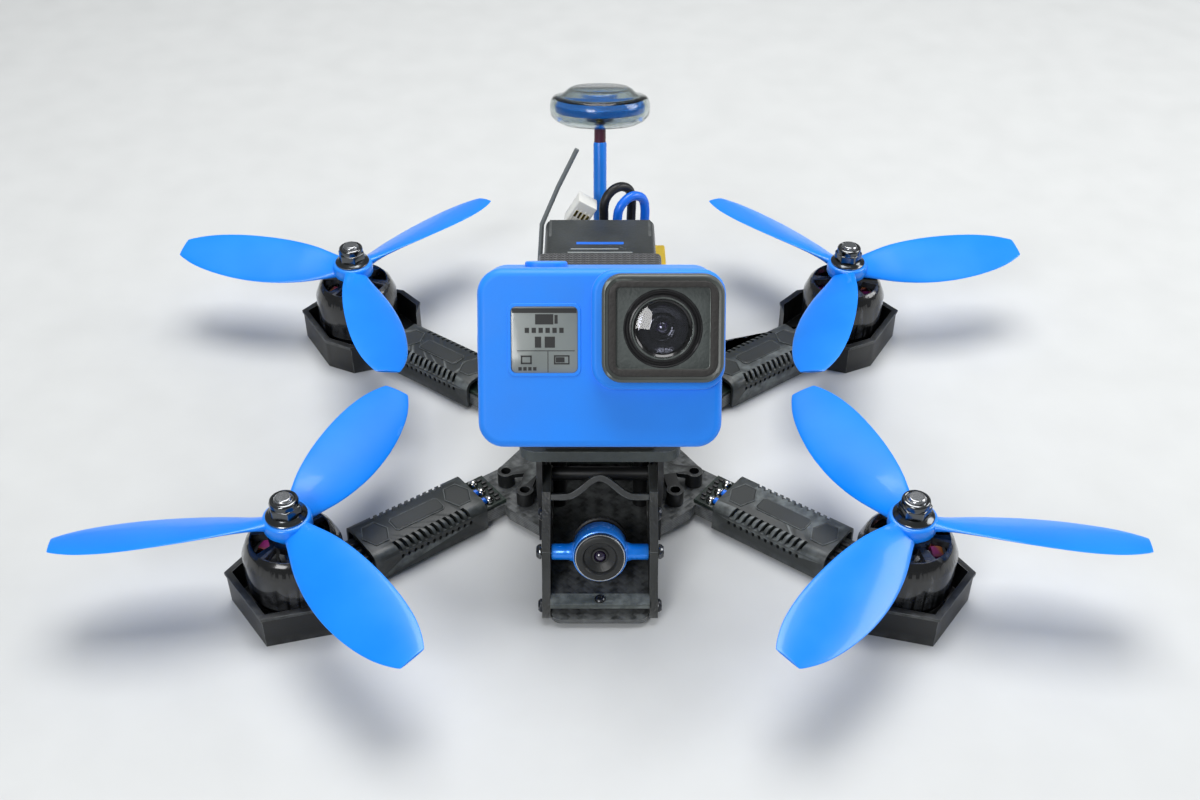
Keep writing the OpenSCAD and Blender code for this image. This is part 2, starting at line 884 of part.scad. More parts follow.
module motor_guard() {
    difference() {
        union() {
            linear_extrude(guard_h - 1)
                polygon(guard_plan(0));
            translate([0, 0, guard_h - 1 - eps])
                linear_extrude(1)
                    polygon(guard_plan(-0.4));
        }
        translate([0, 0, ride_h])
            linear_extrude(guard_h)
                polygon(guard_plan(guard_wall));
        translate([-30, -arm_w / 2 - fit_gap, ride_h])
            cube([20, arm_w + 2 * fit_gap, guard_h]);
        for (a = [45:90:315])
            rotate([0, 0, a - arm_angle])
                translate([mount_r, 0, -eps])
                    cylinder(r = 3, h = 3);
    }
}

module motor_guards() {
    color("#1e2022")
        on_arms()
            translate([motor_r, 0, 0])
                motor_guard();
}

// ---------- forward camera ----------

// Camera axes: the lens looks along -Y before the tilt, and the pivot runs along X.
module on_pivot() {
    translate([0, pivot_y, pivot_z])
        rotate([-camera_tilt, 0, 0])
            children();
}

module fpv_camera_bracket() {
    color("#0091ff")
        on_pivot()
            difference() {
                union() {
                    translate([0, ring_half, 0])
                        rotate([90, 0, 0])
                            cylinder(r = ring_d / 2, h = 2 * ring_half);
                    translate([-cage_in + move_gap, 0, 0])
                        rotate([0, 90, 0])
                            cylinder(r = arm_tube_r, h = 2 * (cage_in - move_gap));
                }
                translate([0, ring_half + 1, 0])
                    rotate([90, 0, 0])
                        cylinder(r = lens_r + 0.05, h = 2 * ring_half + 2);
                translate([-cage_in, 0, 0])
                    rotate([0, 90, 0])
                        cylinder(r = arm_bore_r, h = 2 * cage_in);
            }
}

module fpv_camera_body() {
    color("#151617")
        on_pivot()
            rotate([-90, 0, 0])
                rotate_extrude()
                    polygon([[0, ring_half], [case_r - 0.6, ring_half], [case_r - 0.6, ring_half + 2],
                             [case_r, ring_half + 2.2], [case_r, case_end - 2], [case_r - 1.8, case_end],
                             [0, case_end]]);
}

module fpv_lens() {
    color("#0d0e0f")
        on_pivot()
            rotate([90, 0, 0])
                rotate_extrude()
                    polygon([[0, -ring_half], [lens_r, -ring_half], [lens_r, lens_front - 0.6],
                             [lens_r - 0.6, lens_front], [5, lens_front], [4.6, lens_front - 0.6],
                             [3, lens_front - 0.2], [0, lens_front]]);
}

module fpv_pivot_screws() {
    color("#6d7074")
        on_pivot()
            for (s = [-1, 1])
                translate([s * (cage_w / 2 + 0.2), 0, 0])
                    rotate([0, s * 90, 0])
                        screw(pivot_screw_r, cage_t + 3, 2.1, 1.4);
}

// ---------- action camera ----------

// Action camera axes: X across, Y into the camera, Z up its face; zero in the middle of the face.
module on_action_face() {
    translate([0, action_y, action_z])
        rotate([-action_lean, 0, 0])
            children();
}

// A block extruded along the camera's depth from a rounded outline in its face.
module face_block(x, z, size, r, y0, depth) {
    translate([x, y0 + depth, z])
        rotate([90, 0, 0])
            linear_extrude(depth)
                rounded_square(size, r);
}

module button_shape(length, width, h) {
    linear_extrude(h)
        rounded_square([length, width], width / 2 - 0.02);
}

module action_camera_body() {
    color("#0091ff")
        on_action_face()
            difference() {
                face_block(0, 0, [action_w, action_h], corner_r, 0, action_d);
                face_block(screen_x, screen_z, [screen_w, screen_w], 1.5, -1, 1 + screen_t);
                translate([button_x, action_d / 2, action_h / 2 - button_depth - 0.4])
                    button_shape(button_l + 2 * move_gap, button_w + 2 * move_gap, button_depth + 2);
                translate([-action_w / 2 + button_depth + 0.4, action_d / 2, 2])
                    rotate([0, -90, 0])
                        button_shape(button_l + 2 * move_gap, button_w + 2 * move_gap, button_depth + 2);
            }
}

module camera_lens_housing() {
    color("#1a1c1e")
        on_action_face()
            difference() {
                face_block(lens_block_x, lens_block_z, lens_block, 5,
                           -lens_block_d, lens_block_d);
                translate([lens_block_x, -lens_block_d + 2.4, lens_block_z])
                    rotate([90, 0, 0])
                        cylinder(r = glass_r, h = 4);
            }
}

module camera_lens_glass() {
    color("#0a0c12")
        on_action_face()
            translate([lens_block_x, -lens_block_d + 2.4, lens_block_z])
                rotate([90, 0, 0])
                    cylinder(r = glass_r, h = 1.6);
}

module camera_screen() {
    color("#8f9a98")
        on_action_face()
            face_block(screen_x, screen_z, [screen_w - 0.1, screen_w - 0.1], 1.45, 0.1, screen_t - 0.1);
}

module shutter_button() {
    color("#0b6fd0")
        on_action_face()
            translate([button_x, action_d / 2, action_h / 2 - button_depth + button_travel - 0.2])
                button_shape(button_l, button_w, button_depth + button_proud - button_travel + 0.2);
}

module mode_button() {
    color("#0b6fd0")
        on_action_face()
            translate([-action_w / 2 + button_depth - button_travel + 0.2, action_d / 2, 2])
                rotate([0, -90, 0])
                    button_shape(button_l, button_w, button_depth + button_proud - button_travel - 0.4);
}

// Wedge between the deck and the underside of the camera, in side view.
module action_camera_mount() {
    wedge_w = 30;
    low = [action_y - sin(action_lean) * action_h / 2, action_z - cos(action_lean) * action_h / 2];
    along = [cos(action_lean), -sin(action_lean)];
    color("#141517")
        side_outline(-wedge_w / 2, wedge_w)
            polygon([low + 6 * along, low + action_d * along, [battery_y0 - 4, deck_top + 4],
                     [battery_y0 - 1.5, deck_top], [deck_y0 + 1, deck_top]]);
}

// ---------- battery, leads and antennas ----------

module battery_pack() {
    color("#3a3d40")
        translate([0, (battery_y0 + battery_y1) / 2, battery_z])
            difference() {
                linear_extrude(battery_h)
                    rounded_square([battery_w, battery_l], 2);
                for (s = [-1, 1])
                    translate([s * battery_w / 2, 0, battery_h])
                        rotate([0, 45, 0])
                            cube([2, battery_l + 2, 2], center = true);
            }
}

module battery_strap() {
    strap_top = battery_z + battery_h + 0.1;
    strap_low = deck_z - 0.1;
    color("#111214")
        translate([0, strap_y + strap_w / 2, (strap_top + strap_low) / 2])
            rotate([90, 0, 0])
                linear_extrude(strap_w)
                    difference() {
                        rounded_square([2 * (strap_in + strap_t), strap_top - strap_low + 2 * strap_t], 1.5);
                        square([2 * strap_in, strap_top - strap_low], center = true);
                    }
}

module positive_lead() {
    color("#0078e0")
        tube_along(positive_route, power_lead_r);
}

module negative_lead() {
    color("#1a1a1c")
        tube_along(negative_route, power_lead_r);
}

module power_connector() {
    color("#d8b21c")
        translate([connector_x - connector[0] / 2, connector_y - connector[1] / 2, deck_top])
            cube(connector);
}

module balance_lead() {
    color("#c9ccca")
        tube_along(balance_route, balance_lead_r);
}

// The plug sits on the end of its lead, leaning as the lead's last stretch does.
module balance_plug() {
    end = balance_route[len(balance_route) - 1];
    way = unit(end - balance_route[len(balance_route) - 2]);
    color("#f0f0ea")
        translate(end)
            rotate([0, atan2(way[0], way[2]), 0])
                translate([-plug_size[2] / 2 + 1.2, -plug_size[1] / 2, 0])
                    cube([plug_size[2], plug_size[1], plug_size[0]]);
}

// Antenna axes: zero where the stalk starts to lean, Z up along the stalk.
module on_stalk() {
    translate([0, antenna_y, stalk_root])
        rotate([-antenna_lean, 0, 0])
            children();
}

module antenna_stalk() {
    color("#0091ff") {
        translate([0, antenna_y, 0]) {
            cylinder_from(3.1, deck_z - 3, deck_top + 6);
            translate([0, 0, deck_top])
                cylinder(r = 4.6, h = 2.4, $fn = 6);
        }
        on_stalk() {
            cylinder_from(stalk_r, 0, stalk_l - 1);
            cylinder_from(4.3, stalk_l - 1, stalk_l);
            cylinder_from(stem_r, stalk_l - 0.5, stalk_l + disc_rise);
        }
    }
}

module cylinder_from(r, z0, z1) {
    translate([0, 0, z0])
        cylinder(r = r, h = z1 - z0);
}

module antenna_disc() {
    color("#0091ff")
        on_stalk()
            translate([0, 0, stalk_l + disc_rise])
                cylinder(r = mushroom_d / 2 - 1.7, h = 2.4);
}

module antenna_cap() {
    rim = mushroom_d / 2;
    color("#8f9696")
        on_stalk()
            translate([0, 0, stalk_l])
                difference() {
                    rotate_extrude($fn = 72)
                        polygon([[0, 0], [rim - 5, 0], [rim - 1.4, 1.4], [rim, 3.6], [rim, 7], [rim - 1.2, 8.6],
                                 [rim - 4, 9.3], [rim - 6.6, 11.2], [0, 11.2]]);
                    translate([0, 0, 1.2])
                        rotate_extrude()
                            polygon([[0, 0], [rim - 4.6, 0], [rim - 1.2, 2.6], [rim - 1.2, 5.6], [0, 6.6]]);
                    translate([0, 0, -eps])
                        cylinder(r = stem_r + 0.05, h = 3);
                }
}

module receiver_antenna() {
    color("#7d8486") {
        tube_along(receiver_route, receiver_r);
        translate([receiver_route[0][0], receiver_route[0][1], deck_top])
            cylinder(r = 1.9, h = 2.4);
    }
}

// ---------- every node ----------

main_plate();
left_cage_plate();
right_cage_plate();
left_side_panel();
right_side_panel();
front_bridge();
nose_plate();
top_deck();
standoffs();
arm_brackets();
frame_screws();
flight_controller();
video_transmitter();
motor_bases();
motor_stators();
motor_windings();
motor_bearings();
motor_bell(1, -1);  // motor_bell_fl
motor_bell(-1, -1);  // motor_bell_fr
motor_bell(1, 1);  // motor_bell_rl
motor_bell(-1, 1);  // motor_bell_rr
motor_shaft(1, -1);  // motor_shaft_fl
motor_shaft(-1, -1);  // motor_shaft_fr
motor_shaft(1, 1);  // motor_shaft_rl
motor_shaft(-1, 1);  // motor_shaft_rr
propeller(1, -1, -1, 109.2);  // propeller_fl
propeller(-1, -1, 1, 70.8);  // propeller_fr
propeller(1, 1, 1, 134.5);  // propeller_rl
propeller(-1, 1, -1, 45.5);  // propeller_rr
prop_nut(1, -1);  // prop_nut_fl
prop_nut(-1, -1);  // prop_nut_fr
prop_nut(1, 1);  // prop_nut_rl
prop_nut(-1, 1);  // prop_nut_rr
esc_boards();
esc_covers();
motor_leads();
esc_power_leads();
motor_guards();
fpv_camera_bracket();
fpv_camera_body();
fpv_lens();
fpv_pivot_screws();
action_camera_body();
camera_lens_housing();
camera_lens_glass();
camera_screen();
shutter_button();
mode_button();
action_camera_mount();
battery_pack();
battery_strap();
positive_lead();
negative_lead();
power_connector();
balance_lead();
balance_plug();
antenna_stalk();
antenna_disc();
antenna_cap();
receiver_antenna();
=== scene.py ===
import json
import math

import bmesh
import bpy
from mathutils import Matrix, Vector

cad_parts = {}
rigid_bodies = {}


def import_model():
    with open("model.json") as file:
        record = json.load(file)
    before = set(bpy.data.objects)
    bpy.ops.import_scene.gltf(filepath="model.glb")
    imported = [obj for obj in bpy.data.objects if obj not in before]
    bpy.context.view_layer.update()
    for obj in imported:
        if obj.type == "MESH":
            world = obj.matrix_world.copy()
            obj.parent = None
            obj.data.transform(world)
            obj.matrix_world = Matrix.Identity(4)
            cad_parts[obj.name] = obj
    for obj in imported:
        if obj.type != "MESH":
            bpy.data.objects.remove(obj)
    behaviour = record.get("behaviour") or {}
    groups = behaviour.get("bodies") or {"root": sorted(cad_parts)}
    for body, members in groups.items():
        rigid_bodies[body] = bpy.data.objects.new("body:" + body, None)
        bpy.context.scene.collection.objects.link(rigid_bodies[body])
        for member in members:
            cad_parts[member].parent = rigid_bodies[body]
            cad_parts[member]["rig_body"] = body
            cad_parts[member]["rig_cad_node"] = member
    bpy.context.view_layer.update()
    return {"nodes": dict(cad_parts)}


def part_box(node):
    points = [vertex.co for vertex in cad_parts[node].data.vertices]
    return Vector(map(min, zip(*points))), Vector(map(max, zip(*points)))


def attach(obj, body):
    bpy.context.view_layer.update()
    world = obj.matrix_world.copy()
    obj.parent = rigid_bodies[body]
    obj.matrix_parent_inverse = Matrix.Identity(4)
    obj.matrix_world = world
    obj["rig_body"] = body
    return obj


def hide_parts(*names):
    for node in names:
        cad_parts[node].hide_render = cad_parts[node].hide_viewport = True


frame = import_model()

# Racing quadcopter. Metres; +Z is up and the nose points along -Y. Shapes are drawn in millimetres
# beside the frame's own boxes and scaled by MM.
MM = 0.001
nodes = frame["nodes"]

CORNERS = ("fl", "fr", "rl", "rr")
FRAME = "airframe"
TILT = "fpv_camera"


# ---------- making and shaping ----------

def rest_all():
    """Back to object mode with nothing selected."""
    if bpy.context.object and bpy.context.object.mode != "OBJECT":
        bpy.ops.object.mode_set(mode="OBJECT")
    bpy.ops.object.select_all(action="DESELECT")


def work_on(piece):
    rest_all()
    piece.select_set(True)
    bpy.context.view_layer.objects.active = piece
    bpy.ops.object.mode_set(mode="EDIT")


def pick(piece, kind, test):
    """In edit mode, selects only the vertices, edges or faces that pass a test."""
    bpy.ops.mesh.select_mode(type=kind)
    bpy.ops.mesh.select_all(action="DESELECT")
    mesh = bmesh.from_edit_mesh(piece.data)
    mesh.normal_update()
    items = {"VERT": mesh.verts, "EDGE": mesh.edges, "FACE": mesh.faces}[kind]
    for item in items:
        if test(item):
            item.select_set(True)
    mesh.select_flush_mode()
    bmesh.update_edit_mesh(piece.data)


def named(name):
    piece = bpy.context.object
    piece.name = name
    piece.data.name = name
    bpy.ops.object.transform_apply(location=True, rotation=True, scale=True)
    return piece


def block(name, size, middle=(0, 0, 0)):
    rest_all()
    bpy.ops.mesh.primitive_cube_add(size=1, location=Vector(middle) * MM)
    bpy.context.object.scale = Vector(size) * MM
    return named(name)


def rod(name, radius, length, middle=(0, 0, 0), turn=(0, 0, 0), sides=48):
    rest_all()
    bpy.ops.mesh.primitive_cylinder_add(
        vertices=sides, radius=radius * MM, depth=length * MM, location=Vector(middle) * MM, rotation=turn)
    return named(name)


def ball(name, radius, middle=(0, 0, 0)):
    rest_all()
    bpy.ops.mesh.primitive_uv_sphere_add(segments=24, ring_count=14, radius=radius * MM,
            location=Vector(middle) * MM)
    return named(name)


def turned(name, profile, steps=64, base=0):
    """A shape turned about Z from a profile of radii and heights above a base, as on a lathe."""
    rest_all()
    bpy.ops.mesh.primitive_plane_add(size=MM)
    piece = bpy.context.object
    bpy.ops.object.mode_set(mode="EDIT")
    bpy.ops.mesh.select_mode(type="VERT")
    bpy.ops.mesh.merge(type="CENTER")
    spots = [Vector((radius, 0, base + height)) * MM for radius, height in profile]
    bpy.ops.transform.translate(value=spots[0])
    for last, spot in zip(spots, spots[1:]):
        bpy.ops.mesh.extrude_region_move(TRANSFORM_OT_translate={"value": spot - last})
    bpy.ops.mesh.select_all(action="SELECT")
    bpy.ops.mesh.spin(steps=steps, angle=math.tau, center=(0, 0, 0), axis=(0, 0, 1))
    bpy.ops.mesh.select_all(action="SELECT")
    bpy.ops.mesh.remove_doubles(threshold=0.002 * MM)
    bpy.ops.mesh.normals_make_consistent(inside=False)
    bpy.ops.object.mode_set(mode="OBJECT")
    return named(name)


def shift(x, y, z):
    """A move, in millimetres."""
    return Matrix.Translation(Vector((x, y, z)) * MM)


def bevel_where(piece, test, width, segments=3):
    work_on(piece)
    pick(piece, "EDGE", test)
    bpy.ops.mesh.bevel(offset=width * MM, offset_type="OFFSET", segments=segments, profile=0.5,
                       clamp_overlap=True)
    rest_all()
    return piece


def runs_along(axis):
    """A test for edges that run along one axis."""
    def test(edge):
        way = (edge.verts[1].co - edge.verts[0].co).normalized()
        return abs(way[axis]) > 0.99
    return test


def sharp(edge, limit=0.6):
    return len(edge.link_faces) == 2 and edge.calc_face_angle(0) > limit


def soft_block(name, size, middle, width):
    """A block with all its edges lightly rounded."""
    return bevel_where(block(name, size, middle), sharp, width, 2)


def rounded_block(name, size, middle, axis, corner, edge, segments=6):
    """A block with round corners seen along one axis, and softened edges all round its two ends."""
    piece = block(name, size, middle)
    bevel_where(piece, runs_along(axis), corner, segments)
    if edge:
        bevel_where(piece, lambda e: sharp(e, 1.2), edge, 4)
    return piece


def modified(piece, kind, **settings):
    """Adds a modifier with these settings and applies it."""
    rest_all()
    piece.select_set(True)
    bpy.context.view_layer.objects.active = piece
    modifier = piece.modifiers.new(kind.title(), kind)
    for key, value in settings.items():
        setattr(modifier, key, value)
    bpy.ops.object.modifier_apply(modifier=modifier.name)
    return piece


def bevelled(piece, width, segments, degrees):
    return modified(piece, "BEVEL", width=width * MM, segments=segments, limit_method="ANGLE",
                    angle_limit=math.radians(degrees))


def smooth(piece, degrees=35):
    rest_all()
    piece.select_set(True)
    bpy.context.view_layer.objects.active = piece
    bpy.ops.object.shade_smooth_by_angle(angle=math.radians(degrees))
    return piece


def joined(name, pieces):
    rest_all()
    for piece in pieces:
        piece.select_set(True)
    bpy.context.view_layer.objects.active = pieces[0]
    if len(pieces) > 1:
        bpy.ops.object.join()
    whole = bpy.context.object
    whole.name = name
    whole.data.name = name
    return whole


def copy_of(piece, name, matrix):
    twin = piece.copy()
    twin.data = piece.data.copy()
    twin.name = name
    bpy.context.scene.collection.objects.link(twin)
    twin.data.transform(matrix)
    return twin


def moved(piece, matrix):
    piece.data.transform(matrix)
    return piece


def cut(piece, cutter):
    """Takes the cutter's shape out of the piece."""
    modified(piece, "BOOLEAN", operation="DIFFERENCE", object=cutter, solver="EXACT")
    bpy.data.objects.remove(cutter)
    return piece


def refined(node, width, segments=2):
    """A copy of a CAD node, merged into clean faces, with its sharp edges rounded."""
    piece = nodes[node].copy()
    piece.data = nodes[node].data.copy()
    piece.name = node + "_made"
    piece.parent = None
    piece.matrix_world = Matrix.Identity(4)
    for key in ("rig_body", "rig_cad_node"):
        if key in piece:
            del piece[key]
    bpy.context.scene.collection.objects.link(piece)
    work_on(piece)
    bpy.ops.mesh.select_all(action="SELECT")
    bpy.ops.mesh.remove_doubles(threshold=0.002 * MM)
    bpy.ops.mesh.dissolve_limited(angle_limit=math.radians(0.6))
    rest_all()
    for polygon in piece.data.polygons:
        polygon.material_index = 0
    piece.data.materials.clear()
    for slot in range(2):
        piece.data.materials.append(None)
    modified(piece, "BEVEL", width=width * MM, segments=segments, limit_method="ANGLE", material=1,
             angle_limit=math.radians(38), use_clamp_overlap=True, miter_outer="MITER_ARC")
    smooth(piece, 32)
    return modified(piece, "WEIGHTED_NORMAL", weight=60, keep_sharp=True)


def painted(piece, finish, edge=None):
    """One named finish all over, or a second one on the rounded edges of a refined piece."""
    if edge:
        piece.data.materials[0] = FINISH[finish]
        piece.data.materials[1] = FINISH[edge]
        return piece
    for polygon in piece.data.polygons:
        polygon.material_index = 0
    piece.data.materials.clear()
    piece.data.materials.append(FINISH[finish])
    return piece


def belongs(piece, body, slot, *stands_for):
    """The piece rides on a body and stands for CAD nodes. The slot is not used."""
    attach(piece, body)
    if stands_for:
        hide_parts(*stands_for)
    return piece


# ---------- node tools for the finishes ----------

def add(tree, kind, settings=None, inputs=None):
    node = tree.nodes.new("ShaderNode" + kind)
    for key, value in (settings or {}).items():
        setattr(node, key, value)
    for key, value in (inputs or {}).items():
        if isinstance(value, bpy.types.NodeSocket):
            tree.links.new(value, node.inputs[key])
        else:
            node.inputs[key].default_value = value
    return node


def math_node(tree, operation, first, second=0.0, clamp=False):
    settings = {"operation": operation, "use_clamp": clamp}
    return add(tree, "Math", settings, {0: first, 1: second}).outputs[0]


def product(tree, first, second, clamp=False):
    return math_node(tree, "MULTIPLY", first, second, clamp)


def noise(tree, scale, detail):
    """Fixed noise in object coordinates."""
    place = add(tree, "TexCoord").outputs["Object"]
    return add(tree, "TexNoise", {}, {"Vector": place, "Scale": scale, "Detail": detail}).outputs[0]


def bump_by(tree, shader, height, strength, distance):
    """Raises the finish's surface by a height."""
    bump = add(tree, "Bump", {}, {"Strength": strength, "Distance": distance, "Height": height})
    tree.links.new(bump.outputs[0], shader.inputs["Normal"])


def mixed(tree, share, first, second):
    """A colour between two colours."""
    node = add(tree, "Mix", {"data_type": "RGBA"})
    for key, value in ((0, share), (6, first), (7, second)):
        if isinstance(value, bpy.types.NodeSocket):
            tree.links.new(value, node.inputs[key])
        elif key == 0:
            node.inputs[key].default_value = value
        else:
            node.inputs[key].default_value = (*value, 1)
    return node.outputs[2]


def ranged(tree, value, low, high, to_low=0.0, to_high=1.0):
    return add(tree, "MapRange", {"clamp": True},
               {0: value, 1: low, 2: high, 3: to_low, 4: to_high}).outputs[0]


def new_group(name, inputs, outputs):
    tree = bpy.data.node_groups.new(name, "ShaderNodeTree")
    for label, kind, value in inputs:
        socket = tree.interface.new_socket(label, in_out="INPUT", socket_type=kind)
        if value is not None:
            socket.default_value = value
    for label in outputs:
        tree.interface.new_socket(label, in_out="OUTPUT", socket_type="NodeSocketFloat")
    return tree, tree.nodes.new("NodeGroupInput").outputs, tree.nodes.new("NodeGroupOutput").inputs


def use_group(tree, group, **inputs):
    node = tree.nodes.new("ShaderNodeGroup")
    node.node_tree = group
    for key, value in inputs.items():
        if isinstance(value, bpy.types.NodeSocket):
            tree.links.new(value, node.inputs[key])
        else:
            node.inputs[key].default_value = value
    return node.outputs


def make_grain():
    """Fine moulded grain, and a slow mottle over the whole surface."""
    tree, inside, out = new_group("moulded_grain", [("Size", "NodeSocketFloat", 1500.0)],
            ["Height", "Mottle"])
    tree.links.new(noise(tree, inside["Size"], 2.0), out["Height"])
    tree.links.new(ranged(tree, noise(tree, 60.0, 3.0), 0.3, 0.7), out["Mottle"])
    return tree


def make_wear():
    """Where edges have rubbed bright, broken up by a little noise."""
    tree, inside, out = new_group("rubbed_edges", [("Amount", "NodeSocketFloat", 0.5)], ["Mask"])
    edge = add(tree, "NewGeometry").outputs["Pointiness"]
    patchy = ranged(tree, noise(tree, 420.0, 4.0), 0.35, 0.65, 0.25, 1.0)
    raised = product(tree, ranged(tree, edge, 0.54, 0.6), patchy)
    tree.links.new(product(tree, raised, inside["Amount"], True), out["Mask"])
    return tree


def make_weave():
    """Two-by-two twill: which way a tow runs, and how high it stands."""
    inputs = [("Vector", "NodeSocketVector", None), ("Tow", "NodeSocketFloat", 550.0)]
    tree, inside, out = new_group("twill_weave", inputs, ["Tow side", "Height"])
    scaled = add(tree, "VectorMath", {"operation": "SCALE"},
                 {0: inside["Vector"], "Scale": inside["Tow"]}).outputs[0]
    across, along, _ = add(tree, "SeparateXYZ", {}, {0: scaled}).outputs
    steps = math_node(tree, "ADD", math_node(tree, "FLOOR", across), math_node(tree, "FLOOR", along))
    quarter = math_node(tree, "FRACT", math_node(tree, "DIVIDE", steps, 4.0))
    side = math_node(tree, "LESS_THAN", quarter, 0.45)
    crowns = [math_node(tree, "SINE", product(tree, math_node(tree, "FRACT", way), math.pi))
              for way in (across, along)]
    height = add(tree, "Mix", {"data_type": "FLOAT"}, {0: side, 2: crowns[0], 3: crowns[1]}).outputs[0]
    tree.links.new(side, out["Tow side"])
    tree.links.new(height, out["Height"])
    return tree


def make_lines():
    """Fine parallel lines along one axis of a vector, for threads, plies and wound wire."""
    inputs = [("Vector", "NodeSocketVector", None), ("Count", "NodeSocketFloat", 2000.0)]
    tree, inside, out = new_group("fine_lines", inputs, ["Line"])
    first = add(tree, "SeparateXYZ", {}, {0: inside["Vector"]}).outputs[0]
    wave = math_node(tree, "SINE", product(tree, first, inside["Count"]))
    tree.links.new(ranged(tree, wave, -1.0, 1.0), out["Line"])
    return tree


GRAIN, WEAR, WEAVE, LINES = make_grain(), make_wear(), make_weave(), make_lines()


FINISH = {}


def blank(name):
    """A new finish, kept under its name: its node tree and its shader."""
    FINISH[name] = bpy.data.materials.new(name)
    FINISH[name].use_nodes = True
    tree = FINISH[name].node_tree
    return tree, tree.nodes["Principled BSDF"]


def feed(tree, shader, colour, rough=None):
    """Links the outputs that drive a finish's colour and roughness."""
    tree.links.new(colour, shader.inputs["Base Color"])
    if rough:
        tree.links.new(rough, shader.inputs["Roughness"])


def turned_place(tree, turn):
    """Object coordinates turned so that the wanted axis is the first."""
    place = add(tree, "TexCoord").outputs["Object"]
    return add(tree, "Mapping", {}, {"Vector": place, "Rotation": turn}).outputs[0]


def tuned(shader, **values):
    """Sets plain values on a finish, with _ for each space in a socket's name."""
    for name, value in values.items():
        shader.inputs[name.replace("_", " ")].default_value = value


def surface(name, colour, rough, metal=0.0, grain=1500.0, depth=0.03, mottle=0.09, wear=0.2,
            rubbed=None, coat=0.0, sheen=0.0, specular=0.5):
    """A solid finish: base colour with a slow mottle, fine grain, and edges rubbed lighter."""
    tree, shader = blank(name)
    grained = use_group(tree, GRAIN, Size=grain)
    worn = use_group(tree, WEAR, Amount=wear)
    light = tuple(min(1.0, c * (1 + mottle) + mottle * 0.01) for c in colour)
    dark = tuple(c * (1 - mottle) for c in colour)
    rubbed = rubbed or tuple(min(1.0, c * 2.2 + 0.05) for c in colour)
    base = mixed(tree, grained["Mottle"], dark, light)
    feed(tree, shader, mixed(tree, worn["Mask"], base, rubbed),
         ranged(tree, grained["Mottle"], 0.0, 1.0, rough * 0.85, min(1.0, rough * 1.2)))
    bump_by(tree, shader, grained["Height"], depth * 10, 0.00006)
    tuned(shader, Metallic=metal, Coat_Weight=coat, Coat_Roughness=0.08, Sheen_Weight=sheen,
          Specular_IOR_Level=specular)


def carbon(name):
    """Woven carbon on a plate's faces, stacked plies along its cut edges."""
    tree, shader = blank(name)
    woven = use_group(tree, WEAVE, Vector=turned_place(tree, (0, 0, math.pi / 4)), Tow=620.0)
    plies = use_group(tree, LINES, Vector=turned_place(tree, (0, math.pi / 2, 0)), Count=9000.0)
    worn = use_group(tree, WEAR, Amount=0.7)
    facing = add(tree, "SeparateXYZ", {}, {0: add(tree, "NewGeometry").outputs["Normal"]})
    flat = ranged(tree, math_node(tree, "ABSOLUTE", facing.outputs[2]), 0.5, 0.8)
    cloth = mixed(tree, woven["Tow side"], (0.004, 0.0045, 0.005), (0.05, 0.053, 0.056))
    cut_edge = mixed(tree, plies["Line"], (0.018, 0.019, 0.02), (0.075, 0.08, 0.08))
    base = mixed(tree, flat, cut_edge, cloth)
    feed(tree, shader, mixed(tree, worn["Mask"], base, (0.16, 0.17, 0.17)),
         ranged(tree, woven["Tow side"], 0.0, 1.0, 0.28, 0.42))
    height = add(tree, "Mix", {"data_type": "FLOAT"},
                 {0: flat, 2: plies["Line"], 3: woven["Height"]}).outputs[0]
    bump_by(tree, shader, height, 0.5, 0.00012)
    tuned(shader, Coat_Weight=0.5, Coat_Roughness=0.12)


def worn_edge(name, colour, bright, rough=0.35):
    """The rounded edge of a dark part: its own colour, rubbed pale in patches."""
    tree, shader = blank(name)
    fine = noise(tree, 2200.0, 2.0)
    patches = product(tree, ranged(tree, noise(tree, 320.0, 5.0), 0.36, 0.6, 0.15, 1.0),
                      ranged(tree, fine, 0.3, 0.6, 0.4, 1.0))
    feed(tree, shader, mixed(tree, patches, colour, bright),
         ranged(tree, patches, 0.0, 1.0, rough + 0.1, rough - 0.05))
    bump_by(tree, shader, fine, 0.35, 0.00005)


def wound(name):
    """Enamelled copper wire, wound in close turns, with the enamel's colours."""
    tree, shader = blank(name)
    turns = use_group(tree, LINES, Vector=turned_place(tree, (0, math.pi / 2, 0)), Count=9000.0)
    tint = mixed(tree, ranged(tree, noise(tree, 260.0, 1.0), 0.4, 0.6), (1.0, 0.36, 0.04),
                 (0.75, 0.04, 0.5))
    feed(tree, shader, mixed(tree, turns["Line"], (0.06, 0.01, 0.02), tint))
    bump_by(tree, shader, turns["Line"], 0.7, 0.0001)
    tuned(shader, Metallic=0.3, Roughness=0.3)


def webbing(name):
    """Close-woven nylon strap."""
    tree, shader = blank(name)
    rows = use_group(tree, LINES, Vector=turned_place(tree, (0, 0, math.pi / 2)), Count=5200.0)
    woven = use_group(tree, WEAVE, Vector=turned_place(tree, (0, 0, math.pi / 4)), Tow=1200.0)
    feed(tree, shader, mixed(tree, rows["Line"], (0.008, 0.008, 0.009), (0.035, 0.036, 0.038)))
    bump_by(tree, shader, math_node(tree, "ADD", rows["Line"], woven["Height"]), 0.8, 0.0001)
    tuned(shader, Roughness=0.85, Sheen_Weight=0.4)


def clear(name, colour, rough, ior):
    """Glass or clear plastic, with a slow change of tint and polish."""
    tree, shader = blank(name)
    mottle = use_group(tree, GRAIN, Size=900.0)["Mottle"]
    feed(tree, shader, mixed(tree, mottle, colour, tuple(c * 0.9 for c in colour)),
         ranged(tree, mottle, 0.0, 1.0, rough, rough * 1.6 + 0.01))
    tuned(shader, Transmission_Weight=1.0, IOR=ior)


